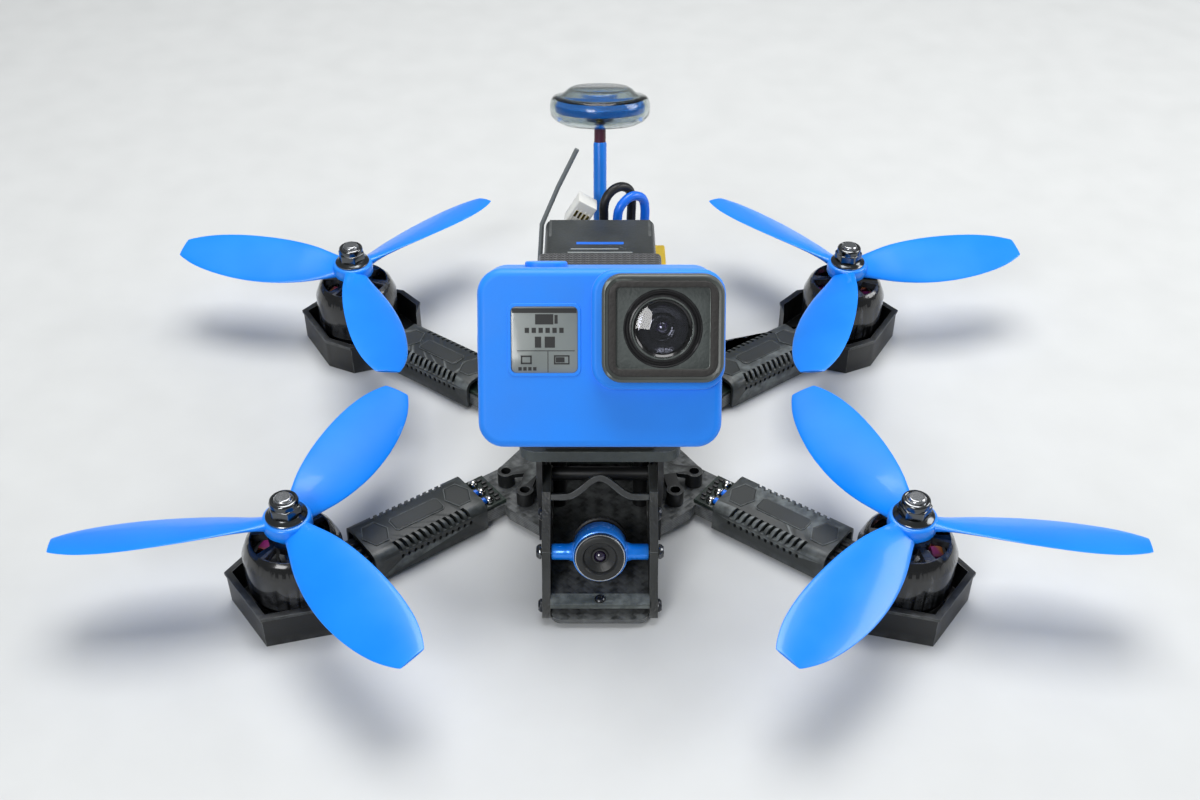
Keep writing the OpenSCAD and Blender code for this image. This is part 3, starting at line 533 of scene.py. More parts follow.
BLUE = (0.0, 0.235, 0.95)
FINISHES = (            # name, colour, roughness, metal, grain, depth, mottle, wear, rubbed colour and coat
    ("blade_blue", BLUE, 0.34, 0, 700, 0.012, 0.05, 0.25, (0.25, 0.55, 1.0), 0.25),
    ("anodised_blue", BLUE, 0.26, 0.25, 1800, 0.015, 0.06, 0.5, (0.3, 0.6, 1.0), 0.5),
    ("cover_grey", (0.02, 0.0235, 0.0235), 0.46, 0, 2600, 0.06, 0.09, 0.7, (0.17, 0.19, 0.19)),
    ("guard_black", (0.006, 0.0065, 0.007), 0.4, 0, 2200, 0.05, 0.09, 0.9, (0.15, 0.155, 0.155)),
    ("black_plastic", (0.005, 0.0054, 0.0058), 0.4, 0, 2600, 0.04, 0.09, 0.5, (0.07, 0.072, 0.075)),
    ("bracket_black", (0.009, 0.01, 0.0105), 0.4, 0, 2600, 0.05, 0.09, 1, (0.16, 0.175, 0.175)),
    ("bridge_grey", (0.016, 0.0185, 0.019), 0.38, 0, 2400, 0.05, 0.09, 0.8, (0.14, 0.15, 0.15)),
    ("deck_grey", (0.05, 0.06, 0.059), 0.5, 0, 1500, 0.16, 0.35, 0.5, (0.32, 0.35, 0.34)),
    ("cage_grey", (0.026, 0.028, 0.027), 0.42, 0, 1500, 0.16, 0.4, 1, (0.2, 0.21, 0.2)),
    ("motor_black", (0.006, 0.0062, 0.007), 0.2, 0.3, 3000, 0.006, 0.05, 0.35, (0.2, 0.21, 0.23), 0.6),
    ("stalk_blue", (0.0, 0.25, 1.0), 0.38, 0, 1800, 0.015, 0.04, 0.2, (0.1, 0.4, 1.0), 0.1),
    ("machined_steel", (0.42, 0.43, 0.45), 0.25, 1, 2800, 0.02, 0.09, 0.4),
    ("laminated_steel", (0.16, 0.165, 0.175), 0.4, 0.9, 2600, 0.03, 0.09, 0.3),
    ("dark_chrome", (0.1, 0.105, 0.11), 0.16, 1, 2000, 0.008, 0.09, 0.9, (0.75, 0.76, 0.78)),
    ("screw_dark", (0.06, 0.062, 0.066), 0.3, 0.9, 2400, 0.02, 0.09, 0.8, (0.45, 0.46, 0.48)),
    ("solder", (0.6, 0.6, 0.58), 0.16, 1, 900, 0.03, 0.09, 0),
    ("board", (0.004, 0.011, 0.008), 0.32, 0, 1800, 0.05, 0.09, 0.3, (0.12, 0.2, 0.14), 0.5),
    ("chip", (0.012, 0.012, 0.013), 0.5, 0, 2600, 0.05),
    ("wire_blue", (0.0, 0.16, 0.85), 0.38, 0, 1600, 0.02, 0.1, 0.1, None, 0.2),
    ("wire_black", (0.012, 0.012, 0.013), 0.45, 0, 1600),
    ("wire_grey", (0.24, 0.26, 0.25), 0.5, 0, 1600),
    ("tube_grey", (0.15, 0.165, 0.165), 0.42),
    ("wrap_grey", (0.028, 0.032, 0.033), 0.4, 0, 900, 0.12, 0.25, 0.7, (0.15, 0.16, 0.16), 0.15),
    ("label_grey", (0.04, 0.045, 0.047), 0.34, 0, 1800, 0.02, 0.1, 0.2, None, 0.3),
    ("label_ink", (0.25, 0.27, 0.27), 0.5, 0, 1800, 0.02, 0.09, 0),
    ("label_blue", (0.0, 0.12, 0.6), 0.5, 0, 1800, 0.02, 0.09, 0),
    ("white_plastic", (0.78, 0.78, 0.74), 0.38, 0, 1500, 0.03, 0.05, 0.1),
    ("gold_contact", (0.6, 0.42, 0.12), 0.25, 1),
    ("amber_nylon", (0.55, 0.36, 0.02), 0.35, 0, 1500, 0.03, 0.08, 0.3, None, 0.2),
    ("collar_red", (0.07, 0.004, 0.02), 0.4, 0, 1500, 0.04, 0.09, 0.3),
    ("lens_black", (0.007, 0.007, 0.008), 0.3, 0.3, 2600, 0.03, 0.09, 0.6, (0.1, 0.1, 0.105)),
    ("lens_baffle", (0.004, 0.004, 0.005), 0.24, 0.5, 2600, 0.01, 0.09, 0.2, None, 0.6),
    ("screen_face", (0.21, 0.235, 0.23), 0.32, 0, 1800, 0.01, 0.12, 0, None, 0.8),
    ("screen_ink", (0.006, 0.007, 0.008), 0.4, 0, 1800, 0.01, 0.09, 0),
    ("rim_grey", (0.075, 0.085, 0.08), 0.34, 0, 2200, 0.04, 0.08, 0.9, (0.3, 0.34, 0.32)),
    ("frame_brown", (0.02, 0.018, 0.017), 0.6, 0, 1100, 0.3, 0.2, 0.3),
    ("plate_green", (0.05, 0.06, 0.058), 0.55, 0, 1300, 0.25, 0.15, 0.3),
    ("ring_grey", (0.12, 0.135, 0.13), 0.25, 0.8, 2600, 0.01, 0.05, 0.8, (0.4, 0.43, 0.42)),
    ("bezel_grey", (0.018, 0.019, 0.019), 0.42, 0, 1800, 0.08, 0.15, 0.3, (0.1, 0.1, 0.1)))

for row in FINISHES:
    surface(*row)
carbon("carbon_flat")
surface("soft_blue", BLUE, 0.52, grain=3000, mottle=0.04, wear=0.15, rubbed=(0.1, 0.42, 1.0), sheen=0.15)
wound("enamelled_copper")
webbing("strap_webbing")
# The dark violet colour is a painted reflection: it stands in for the purple reflections of the lens
# coating.
surface("glass_with_painted_violet_reflection", (0.012, 0.004, 0.03), 0.04, grain=400, depth=0.0, mottle=0.4, wear=0.0, coat=1.0,
        specular=0.9)
clear("coated_glass", (0.86, 0.88, 1.0), 0.0, 1.5)
clear("smoked_shell", (0.66, 0.72, 0.71), 0.06, 1.4)
worn_edge("rubbed_dark_edge", (0.012, 0.0125, 0.013), (0.11, 0.12, 0.12))
worn_edge("rubbed_plate_edge", (0.03, 0.033, 0.033), (0.24, 0.26, 0.25))
worn_edge("rubbed_metal_edge", (0.02, 0.02, 0.022), (0.3, 0.31, 0.33), 0.22)


# ---------- camera and cords ----------

def set_camera():
    """In front of the nose and above it, looking down at 38 degrees."""
    bpy.ops.object.camera_add(location=(0, -0.340, 0.287), rotation=(math.radians(52), 0, 0))
    camera = bpy.context.object
    camera.data.lens = 41.76
    camera.data.sensor_width = 36
    camera.data.clip_start = 0.01
    bpy.context.scene.camera = camera


def soft_curve(name, route, radius, finish):
    curve = bpy.data.curves.new(name, "CURVE")
    curve.dimensions = "3D"
    curve.bevel_depth = radius * MM
    curve.bevel_resolution = 5
    curve.resolution_u = 8
    curve.use_fill_caps = True
    spline = curve.splines.new("BEZIER")
    spline.bezier_points.add(len(route) - 1)
    for point, spot in zip(spline.bezier_points, route):
        point.co = Vector(spot) * MM
        point.handle_left_type = point.handle_right_type = "AUTO"
    curve.materials.append(FINISH[finish])
    piece = bpy.data.objects.new(name, curve)
    bpy.context.scene.collection.objects.link(piece)
    return piece


POSITIVE_ROUTE = ((5.4, 27, 60), (5.4, 28.4, 60), (5.4, 30.6, 60.5), (5.4, 32.5, 61.8), (5.4, 33.6, 63.7),
        (5.4, 34, 66), (6, 34.4, 69.3), (7.6, 35.6, 71.2), (9.7, 37.2, 72), (11.8, 38.8, 71.2),
        (13.4, 40, 69.3), (14, 40.4, 66.6), (14, 40.4, 60), (14, 40.2, 54), (14, 40, 49))
NEGATIVE_ROUTE = ((1.2, 27, 60), (1.2, 30, 60), (1.2, 32.6, 60.5), (1.2, 34.6, 61.8), (1.2, 35.8, 63.8),
        (1.2, 36.2, 66.4), (1.2, 36.2, 68.7), (1.8, 36.6, 71.4), (3.4, 37.8, 73.3), (5.5, 39.3, 74),
        (7.6, 40.8, 73.3), (9.2, 42, 71.4), (9.8, 42.4, 68.7), (9.8, 42.2, 61), (9.8, 41.2, 55),
        (9.8, 40.4, 51.6), (9.8, 40.2, 49))
BALANCE_ROUTE = ((-1, 27, 43), (-1, 30, 43), (-2, 32.6, 43.8), (-4.4, 34.4, 45.6), (-7.2, 35.2, 48.2),
        (-9.6, 35.2, 51.6), (-11, 34.9, 55.6), (-11.3, 34.6, 59.4), (-10.7, 34.4, 62.6),
        (-9.4, 34.4, 64.8))


LEAD_R, BALANCE_R = 1.45, 0.9
PLUG_SIZE = (6.4, 5.8, 9.4)
PLUG_SIDE = 1.2         # the plug's middle beside its lead


def power_lead(name, route, finish, slot):
    lead = soft_curve(name + "_wire", route, LEAD_R, finish)
    belongs(lead, FRAME, slot, name)


def plug_shape():
    """The balance plug: a ribbed white housing with small contact windows, on its lead's end."""
    end, before = Vector(BALANCE_ROUTE[-1]), Vector(BALANCE_ROUTE[-2])
    way = (end - before).normalized()
    _, thick, tall = PLUG_SIZE
    shell = rounded_block("plug", PLUG_SIZE, (PLUG_SIDE, 0, tall / 2), 2, 0.5, 0.35, 3)
    ribs = [soft_block("rib", (0.5, thick + 0.35, 6), (PLUG_SIDE - 2.2 + 1.45 * k, 0, 3.8),
                       0.15) for k in range(4)]
    housing = painted(joined("plug_shell", [shell, *ribs]), "white_plastic")
    contacts = [painted(block("contact", (0.7, 0.3, 2.2), (PLUG_SIDE - 1.9 + 1.3 * k, -thick / 2 - 0.1,
            5)), "gold_contact") for k in range(4)]
    plug = joined("balance_plug_made", [housing, *contacts])
    moved(plug, shift(*end) @ Matrix.Rotation(math.atan2(way.x, way.z), 4, "Y"))
    return smooth(plug)


def make_cords():
    power_lead("positive_lead", POSITIVE_ROUTE, "wire_blue", "blue_wire")
    power_lead("negative_lead", NEGATIVE_ROUTE, "wire_black", "black_wire")
    plug = belongs(plug_shape(), FRAME, "white_plastic", "balance_plug")
    lead = soft_curve("balance_lead_wires", BALANCE_ROUTE, BALANCE_R, "wire_grey")
    belongs(lead, FRAME, "grey_wire", "balance_lead")


# ---------- propellers and motors ----------

BLADE = (               # distance from the shaft, width and thickness
    (4, 8, 4.2), (6, 8.8, 3.8), (8, 10.2, 3.0), (11, 12.2, 2.4), (16, 15.6, 2.0), (24, 18.6, 1.7),
    (31, 19.8, 1.5), (38, 20, 1.35), (45, 19, 1.2), (51, 17, 1.1), (55.5, 14.6, 1.0), (59, 11.6, 0.95),
    (61.4, 9, 0.9), (62.1, 8, 0.88), (62.35, 7.6, 0.8), (62.4, 7.2, 0.5))
FIRST_BLADE = {"fl": 109.2, "fr": 70.8, "rl": 134.5, "rr": 45.5}
HAND = {"fl": -1, "fr": 1, "rl": 1, "rr": -1}
ROOT_PITCH, PITCH_LOSS, TIP_R = 27, 14, 62.5
HUB_H = 5
BOSS_H = 2


def motor_spot(corner):
    low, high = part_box("motor_shaft_" + corner)
    return (low + high) / 2 / MM


def on_bell(corner, height):
    """The place at a height above a motor's bell, on its shaft."""
    spot = motor_spot(corner)
    return shift(spot.x, spot.y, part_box("motor_bell_" + corner)[1].z / MM + height)


def blade_sweep(r):
    return -2.4 * math.sin(math.radians(min(90, 2.2 * r)))


def shape_blade():
    """One blade along +X: a thin oval drawn out from the root station by station, then rounded."""
    rest_all()
    first = BLADE[0]
    bpy.ops.mesh.primitive_circle_add(vertices=16, radius=0.5 * MM, fill_type="NGON",
            location=(first[0] * MM, blade_sweep(first[0]) * MM, 0), rotation=(0, math.pi / 2, 0))
    blade = named("blade")
    work_on(blade)
    bpy.ops.mesh.select_all(action="SELECT")
    heart = Vector((first[0], blade_sweep(first[0]), 0)) * MM
    bpy.ops.transform.resize(value=(1, first[1], first[2]), center_override=heart)
    for last, station in zip(BLADE, BLADE[1:]):
        step = Vector((station[0] - last[0], blade_sweep(station[0]) - blade_sweep(last[0]), 0)) * MM
        bpy.ops.mesh.extrude_region_move(TRANSFORM_OT_translate={"value": step})
        heart += step
        bpy.ops.transform.resize(value=(1, station[1] / last[1], station[2] / last[2]),
                center_override=heart)
    bpy.ops.mesh.select_all(action="SELECT")
    bpy.ops.mesh.normals_make_consistent(inside=False)
    rest_all()
    modified(blade, "SUBSURF", levels=2, render_levels=2)
    return blade


def pitch_blade(blade, hand):
    """Arches and twists the flat blade for its turning direction."""
    for vertex in blade.data.vertices:
        r = vertex.co.x / MM
        sweep = blade_sweep(r)
        side = vertex.co.y / MM - sweep
        arch = 0.045 * (10 - side * side / 10) * min(1, max(0, (r - 6) / 12))
        lift = vertex.co.z / MM + arch - 0.2
        pitch = math.radians(hand * (ROOT_PITCH - PITCH_LOSS * (r - 5) / TIP_R))
        swept = hand * sweep
        vertex.co.y = (swept + side * math.cos(pitch) - lift * math.sin(pitch)) * MM
        vertex.co.z = (side * math.sin(pitch) + lift * math.cos(pitch)) * MM
    return blade


def make_propeller(corner, flat_blade):
    hand = HAND[corner]
    hub = turned("hub", [(2.5, 0), (4.1, 0), (4.3, 0.2), (4.3, 1.5), (4.6, 1.9), (5.7, 2.2), (6.4, 2.7),
            (6.7, 3.3), (6.7, 6.2), (6.5, 6.7), (6.1, 7.0), (2.5, 7.0), (2.5, 0)], 72)
    parts = [hub]
    lift = shift(0, 0, BOSS_H + HUB_H / 2)
    for k in range(3):
        blade = pitch_blade(copy_of(flat_blade, "blade_copy", Matrix.Identity(4)), hand)
        turn = Matrix.Rotation(math.radians(FIRST_BLADE[corner] + 120 * k), 4, "Z")
        parts.append(moved(blade, turn @ lift))
    whole = joined("propeller_%s_made" % corner, parts)
    moved(whole, on_bell(corner, 0))
    painted(smooth(whole, 50), "blade_blue")
    belongs(whole, "rotor_" + corner, "blue_plastic", "propeller_" + corner)


def make_nut(corner):
    """A flanged hexagon nut with a plastic locking ring."""
    flange = turned("flange", [(2.5, 0), (5.5, 0), (5.7, 0.2), (5.7, 0.5), (5.5, 0.75), (4.9, 1.0),
            (4.4, 1.5), (2.5, 1.5)])
    body = rod("hexagon", 4 / math.cos(math.pi / 6), 3.2, (0, 0, 2.6), sides=6)
    bevel_where(body, sharp, 0.4, 3)
    crown = turned("crown", [(2.7, 3.9), (3.9, 3.9), (3.95, 4.4), (3.95, 5.3), (3.8, 5.75), (3.5, 6.0),
            (3.15, 6.05), (2.95, 5.9), (2.9, 5.5), (2.7, 5.5)])
    metal = painted(joined("nut_metal", [flange, body, crown]), "dark_chrome")
    ring = painted(turned("locking_ring", [(2.52, 4.5), (2.95, 4.5), (2.95, 5.65), (2.8, 5.75),
            (2.6, 5.7), (2.52, 5.5)]), "machined_steel")
    nut = joined("prop_nut_%s_made" % corner, [metal, ring])
    moved(nut, on_bell(corner, BOSS_H + HUB_H) @ Matrix.Rotation(0.35, 4, "Z"))
    smooth(nut)
    belongs(nut, "rotor_" + corner, "dark_chrome", "prop_nut_" + corner)


def make_motor(corner):
    bell = painted(refined("motor_bell_" + corner, 0.22), "motor_black", "rubbed_metal_edge")
    belongs(bell, "rotor_" + corner, "motor_black", "motor_bell_" + corner)
    shaft = painted(refined("motor_shaft_" + corner, 0.15), "machined_steel")
    belongs(shaft, "rotor_" + corner, "steel", "motor_shaft_" + corner)


# ---------- controller covers ----------

COVER_LENGTH = 37.5
COVER_HALF = 8.75
COVER_FROM_MOTOR = 20


def cover_slots():
    """Leaning slots across both long shoulders and a row of small ovals below them."""
    cutters = []
    for side in (-1, 1):
        for k in range(12):
            along = COVER_LENGTH / 2 - 12.4 + 2.1 * k
            slot = bevel_where(block("slot", (1.05, 4.4, 3.6)), runs_along(0), 1.2, 4)
            lean = Matrix.Rotation(side * 0.3, 4, "Z")
            cutters.append(moved(slot, shift(along, side * (COVER_HALF - 0.9), 9.9) @ lean))
            oval = rod("oval", 0.5, 4, (0, 0, 0), (math.pi / 2, 0, 0), 12)
            stretch = Matrix.Scale(1.5, 4, (0, 0, 1))
            cutters.append(moved(oval, shift(along - 0.6, side * COVER_HALF, 6.3) @ stretch))
    return joined("slots", cutters)


def raised_plate(name, outline, base, rise, inset):
    """A flat panel with a sloped border, raised from the cover's top."""
    rest_all()
    bpy.ops.mesh.primitive_circle_add(vertices=len(outline), radius=MM, fill_type="NGON")
    piece = named(name)
    for vertex, spot in zip(piece.data.vertices, outline):
        vertex.co = Vector((spot[0], spot[1], base)) * MM
    work_on(piece)
    bpy.ops.mesh.select_all(action="SELECT")
    bpy.ops.mesh.normals_make_consistent(inside=False)
    bpy.ops.mesh.extrude_region_move(TRANSFORM_OT_translate={"value": (0, 0, rise * MM)})
    bpy.ops.mesh.inset(thickness=inset * MM, depth=0)
    bpy.ops.mesh.inset(thickness=0.25 * MM, depth=-rise * 0.55 * MM)
    bpy.ops.mesh.select_all(action="SELECT")
    bpy.ops.mesh.normals_make_consistent(inside=False)
    rest_all()
    return piece


def hexagon(middle, half_x, half_y):
    return [(middle + half_x * math.cos(math.tau * k / 6),
             half_y * math.sin(math.tau * k / 6) * 1.155) for k in range(6)]


def cover_shape():
    """A channel over the arm, drawn along +X from its inner end, its top shoulders sloped."""
    low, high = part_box("esc_covers")
    low_z, high_z = low.z / MM, high.z / MM - 0.3
    shell = block("cover", (COVER_LENGTH, 2 * COVER_HALF, high_z - low_z),
                  (COVER_LENGTH / 2, 0, (low_z + high_z) / 2))
    bevel_where(shell, lambda e: runs_along(0)(e) and e.verts[0].co.z > 9 * MM, 2.6, 3)
    work_on(shell)
    pick(shell, "FACE", lambda f: abs(f.normal.x) > 0.9 or f.normal.z < -0.9)
    bpy.ops.mesh.delete(type="FACE")
    rest_all()
    modified(shell, "SOLIDIFY", thickness=1.2 * MM, offset=-1, use_even_offset=True)
    cut(shell, cover_slots())
    bevelled(shell, 0.16, 2, 35)
    top = high_z - 0.02
    plates = [raised_plate("plate", outline, top, 0.3, 0.3) for outline in (
        hexagon(4.9, 4.2, 4.6), hexagon(COVER_LENGTH - 4.9, 4.2, 4.6),
        [(11.4, -2.9), (26.1, -2.9), (27, -2), (27, 2), (26.1, 2.9), (11.4, 2.9), (10.5, 2), (10.5, -2)])]
    whole = joined("cover", [shell, *plates])
    return smooth(whole, 30)


def on_arm(corner):
    """The place of a part that is drawn along +X from a cover's inner end."""
    spot = motor_spot(corner)
    inner = math.hypot(spot.x, spot.y) - COVER_FROM_MOTOR - COVER_LENGTH
    turn = Matrix.Rotation(math.atan2(spot.y, spot.x), 4, "Z")
    return turn @ Matrix.Translation((inner * MM, 0, 0))


def make_covers():
    pattern = cover_shape()
    for corner in CORNERS:
        cover = copy_of(pattern, "controller_cover_" + corner, on_arm(corner))
        painted(cover, "cover_grey")
        belongs(cover, FRAME, "cover_plastic", "esc_covers")
    bpy.data.objects.remove(pattern)


def make_solder():
    """Solder balls and small surface parts at the inner end of each controller board."""
    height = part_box("esc_boards")[0].z / MM + 1.2 + 0.35
    for corner in CORNERS:
        balls = [ball("drop", 1.5, (-3.4, 4.4 * k, height)) for k in (-1, 0, 1)]
        metal = painted(joined("drops", balls), "solder")
        chips = [soft_block("chip", (1.5, 0.9, 0.7), (-5.9 - 0.6 * (k % 2), -5 + 1.7 * k, height), 0.1)
                 for k in range(7)]
        dark = painted(joined("chips", chips), "chip")
        group = joined("board_parts_" + corner, [metal, dark])
        smooth(moved(group, on_arm(corner)))
        belongs(group, FRAME, "board")


# ---------- action camera ----------

LEAN = math.radians(30)
BODY_SIZE = (62.3, 24.6, 45.8)
LENS_MIDDLE = (15.6, 8.4)
LENS_WIDE, LENS_TALL = 30.4, 27
LENS_DEPTH = 8.4
SCREEN_MIDDLE = (-14.1, 4.9)
SCREEN_SIZE = 17
SCREEN_MARKS = (        # middle across and up from the screen's middle, width and height
    (0, 7.4, 16.4, 1.2), (0, 5.2, 4.6, 2.6), (3.0, 5.2, 0.8, 2.2), (-1.6, -0.6, 1.6, 2.8),
    (1.4, -0.6, 2.6, 2.8),
    (0.4, -2.8, 14.6, 0.18), (0.9, -5.6, 0.18, 5.4), (-4.6, -4.2, 2.6, 0.4), (-4.6, -6.0, 2.6, 0.4),
    (-5.8, -5.1, 0.4, 2.2), (-3.4, -5.1, 0.4, 2.2), (4.4, -4.1, 3.8, 0.35), (4.4, -6.1, 3.8, 0.35),
    (2.6, -5.1, 0.35, 2.3), (6.2, -5.1, 0.35, 2.3), (4.0, -5.1, 2.2, 1.3))


def on_face():
    """From the action camera's own axes, zero in the middle of its front face, to the frame."""
    low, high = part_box("action_camera_body")
    middle = (low + high) / 2 / MM
    return shift(*middle) @ Matrix.Rotation(-LEAN, 4, "X") @ shift(0, -BODY_SIZE[1] / 2, 0)


def screen_block(name, grow, thick, y, corner, edge):
    """A square block on the screen's middle, larger than the screen by grow."""
    side = SCREEN_SIZE + grow
    return rounded_block(name, (side, thick, side), (SCREEN_MIDDLE[0], y, SCREEN_MIDDLE[1]), 1, corner,
            edge, 5)


def action_body():
    """The soft blue case, with a collar round the lens, a lip round the screen, and two button wells."""
    width, depth, height = BODY_SIZE
    body = rounded_block("action_body", BODY_SIZE, (0, depth / 2, 0), 1, 6.5, 2.1, 10)
    cut(body, screen_block("window", 0, 3, -0.6, 1.4, 0))
    cut(body, rounded_block("well", (11.6, 7.6, 5.6), (-14, depth / 2, height / 2), 2, 3.7, 0, 6))
    cut(body, rounded_block("well", (5.6, 7.6, 11.6), (-width / 2, depth / 2, 2), 0, 3.7, 0, 6))
    x, z = LENS_MIDDLE
    collar = rounded_block("collar", (LENS_WIDE + 3.4, 5.2, LENS_TALL + 3.4), (x - 0.9, -0.4, z - 0.8), 1,
            6.2, 1.4, 8)
    lip = screen_block("lip", 1.6, 0.5, 0.02, 1.9, 0.2)
    cut(lip, screen_block("window", 0, 3, -0.6, 1.4, 0))
    bevelled(body, 0.25, 2, 40)
    body = joined("action_camera_shell", [body, collar, lip])
    smooth(body, 40)
    moved(body, on_face())
    modified(body, "WEIGHTED_NORMAL", weight=90, keep_sharp=True)
    painted(body, "soft_blue")
    return belongs(body, FRAME, "blue_rubber", "action_camera_body")


def lens_housing():
    """The square lens block: a pale rim, a grooved dark frame, and a sunk plate with ringed steps."""
    x, z = LENS_MIDDLE
    rim = rounded_block("rim", (LENS_WIDE, LENS_DEPTH - 0.3, LENS_TALL), (x, -(LENS_DEPTH - 0.3) / 2, z), 1,
                        5, 0.9, 8)
    cut(rim, rounded_block("step", (LENS_WIDE - 1.7, 1.4, LENS_TALL - 1.7), (x, -LENS_DEPTH, z), 1, 4.2,
            0, 8))
    cut(rim, rounded_block("well", (23.2, 7, 20.1), (x, -LENS_DEPTH + 2.4, z + 0.1), 1, 1.1, 0, 5))
    painted(smooth(bevelled(rim, 0.2, 2, 40)), "rim_grey")
    frame_part = rounded_block("frame", (LENS_WIDE - 3.2, 1.4, LENS_TALL - 3.2),
            (x, -LENS_DEPTH + 0.75, z), 1, 3.6, 0.3, 8)
    cut(frame_part, rounded_block("pocket", (23.4, 3, 20.3), (x, -LENS_DEPTH, z + 0.1), 1, 1.0, 0, 5))
    painted(smooth(bevelled(frame_part, 0.25, 3, 40)), "frame_brown")
    plate = rounded_block("plate", (23.3, 0.8, 20.2), (x, -LENS_DEPTH + 1.6, z + 0.1), 1, 1.0, 0.1, 5)
    cut(plate, rod("hole", 9.85, 6, (x, -LENS_DEPTH + 1.6, z), (math.pi / 2, 0, 0), 96))
    painted(smooth(plate), "plate_green")
    return [rim, frame_part, plate]


def lens_rings(face):
    """Round steps between the sunk plate and the glass: two grooves, a bright ring and a dark throat."""
    dark = turned("rings", [(9.9, 0), (9.9, 0.45), (9.6, 0.6), (9.3, 0.45),
            (9.15, 0.1), (8.7, 0.1), (8.5, 0.6), (8.2, 0.75),
            (7.95, 0.75), (7.9, 0), (9.9, 0)], 96, face)
    bright = turned("bright", [(7.9, -0.6), (7.9, 0.7), (7.75, 0.85),
            (7.45, 0.85), (7.25, 0.5), (7.2, -0.6), (7.9, -0.6)], 96, face)
    throat = turned("throat", [(7.2, 0.1), (6.6, -0.5), (4.4, -1.6), (3.3, -2.1),
            (3.3, -1.5), (3.0, -1.4), (2.7, -1.5), (2.5, -2.2), (2.0, -2.3),
            (2.0, -1.9), (1.8, -1.9), (1.7, -2.5), (0.001, -2.7),
            (0.001, -3.6), (7.2, -3.6), (7.2, 0.1)], 96, face)
    return [painted(dark, "lens_black"), painted(bright, "ring_grey"), painted(throat, "lens_baffle")]


def make_action_lens():
    x, z = LENS_MIDDLE
    face = LENS_DEPTH - 1.9
    aim = shift(x, 0, z) @ Matrix.Rotation(math.pi / 2, 4, "X")
    rings = [moved(ring, aim) for ring in lens_rings(face)]
    whole = joined("camera_lens_housing_made", lens_housing() + rings)
    moved(whole, on_face())
    belongs(smooth(whole), FRAME, "lens_barrel", "camera_lens_housing")
    dome = turned("dome", [(0.001, 0.5), (1.6, 0.44), (3.2, 0.25),
            (4.8, -0.02), (6.3, -0.35), (7.1, -0.5), (7.1, -0.75),
            (6.0, -0.6), (4.5, -0.3), (0.001, 0)], 96, face)
    moved(dome, on_face() @ aim)
    painted(smooth(dome, 60), "coated_glass")
    dome.name = "camera_lens_glass_made"
    belongs(dome, FRAME, "lens_glass", "camera_lens_glass")
    element = turned("inner_element", [(0.001, -1.2), (0.7, -1.3), (1.3, -1.6),
            (1.65, -2.1), (1.65, -2.4), (0.001, -2.6)], 48, face)
    moved(element, on_face() @ aim)
    # Painted reflection: the inner element's dark violet colour stands in for the coating's purple
    # reflections.
    painted(smooth(element, 60), "glass_with_painted_violet_reflection")
    belongs(element, FRAME, "lens_glass")


def make_screen():
    """A grey liquid crystal panel with plain generic marks: a bar row, two boxes and a level."""
    x, z = SCREEN_MIDDLE
    side = SCREEN_SIZE - 0.1
    glass = painted(rounded_block("panel", (side, 0.5, side), (x, 0.62, z), 1, 1.4, 0.08, 4), "screen_face")
    bars = [*SCREEN_MARKS, *((-4.4 + 1.75 * k, 2.4, 1.1, 1.3) for k in range(6)),
            *((-6.2 + 1.25 * k, -7.4, 0.85, 0.9) for k in range(4))]
    marks = [block("mark", (wide, 0.06, tall), (x + across, 0.36, z + up)) for across, up, wide,
             tall in bars]
    ink = painted(joined("marks", marks), "screen_ink")
    panel = joined("camera_screen_made", [glass, ink])
    smooth(moved(panel, on_face()))
    belongs(panel, FRAME, "screen", "camera_screen")


def make_buttons():
    for node, body in (("shutter_button", "shutter"), ("mode_button", "mode")):
        button = painted(refined(node, 0.5, 4), "soft_blue")
        belongs(button, body, "blue_rubber", node)


# ---------- forward camera ----------

FORWARD_TILT = math.radians(20)


def on_pivot():
    """From the tilting camera's axes, with the lens along +Z, to the frame at rest."""
    low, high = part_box("fpv_pivot_screws")
    middle = (low + high) / 2 / MM
    return shift(*middle) @ Matrix.Rotation(math.pi / 2 - FORWARD_TILT, 4, "X")


def tilt_bracket():
    """A ring round the lens with a short tube out to each cage plate."""
    ring = turned("ring", [(7.1, -3.5), (7.35, -3.5), (7.6, -3.2), (7.6, 3.0), (7.4, 3.4), (7.15, 3.5),
            (7.1, 3.3), (7.1, -3.5)], 96)
    tubes = []
    for side in (-1, 1):
        tube = turned("tube", [(1.06, 6.9), (2.9, 6.9), (2.6, 7.9), (2.3, 8.6), (2.25, 9.4), (2.25, 13.2),
                (2.1, 13.38), (1.2, 13.4), (1.06, 13.2), (1.06, 6.9)], 40)
        tubes.append(moved(tube, Matrix.Rotation(side * math.pi / 2, 4, "Y")))
    bracket = joined("tilt_bracket", [ring, *tubes])
    smooth(bracket, 40)
    painted(moved(bracket, on_pivot()), "anodised_blue")
    belongs(bracket, TILT, "blue_plastic", "fpv_camera_bracket")


def ridged_ring(name, radius, low, high, count, rise):
    """A ring of fine upright ridges for the fingers."""
    ridges = []
    for k in range(count):
        angle = math.tau * k / count
        ridge = block("ridge", (rise * 2, radius * math.tau / count * 0.5, high - low),
                      (radius, 0, (low + high) / 2))
        ridges.append(moved(ridge, Matrix.Rotation(angle, 4, "Z")))
    return joined(name, ridges)


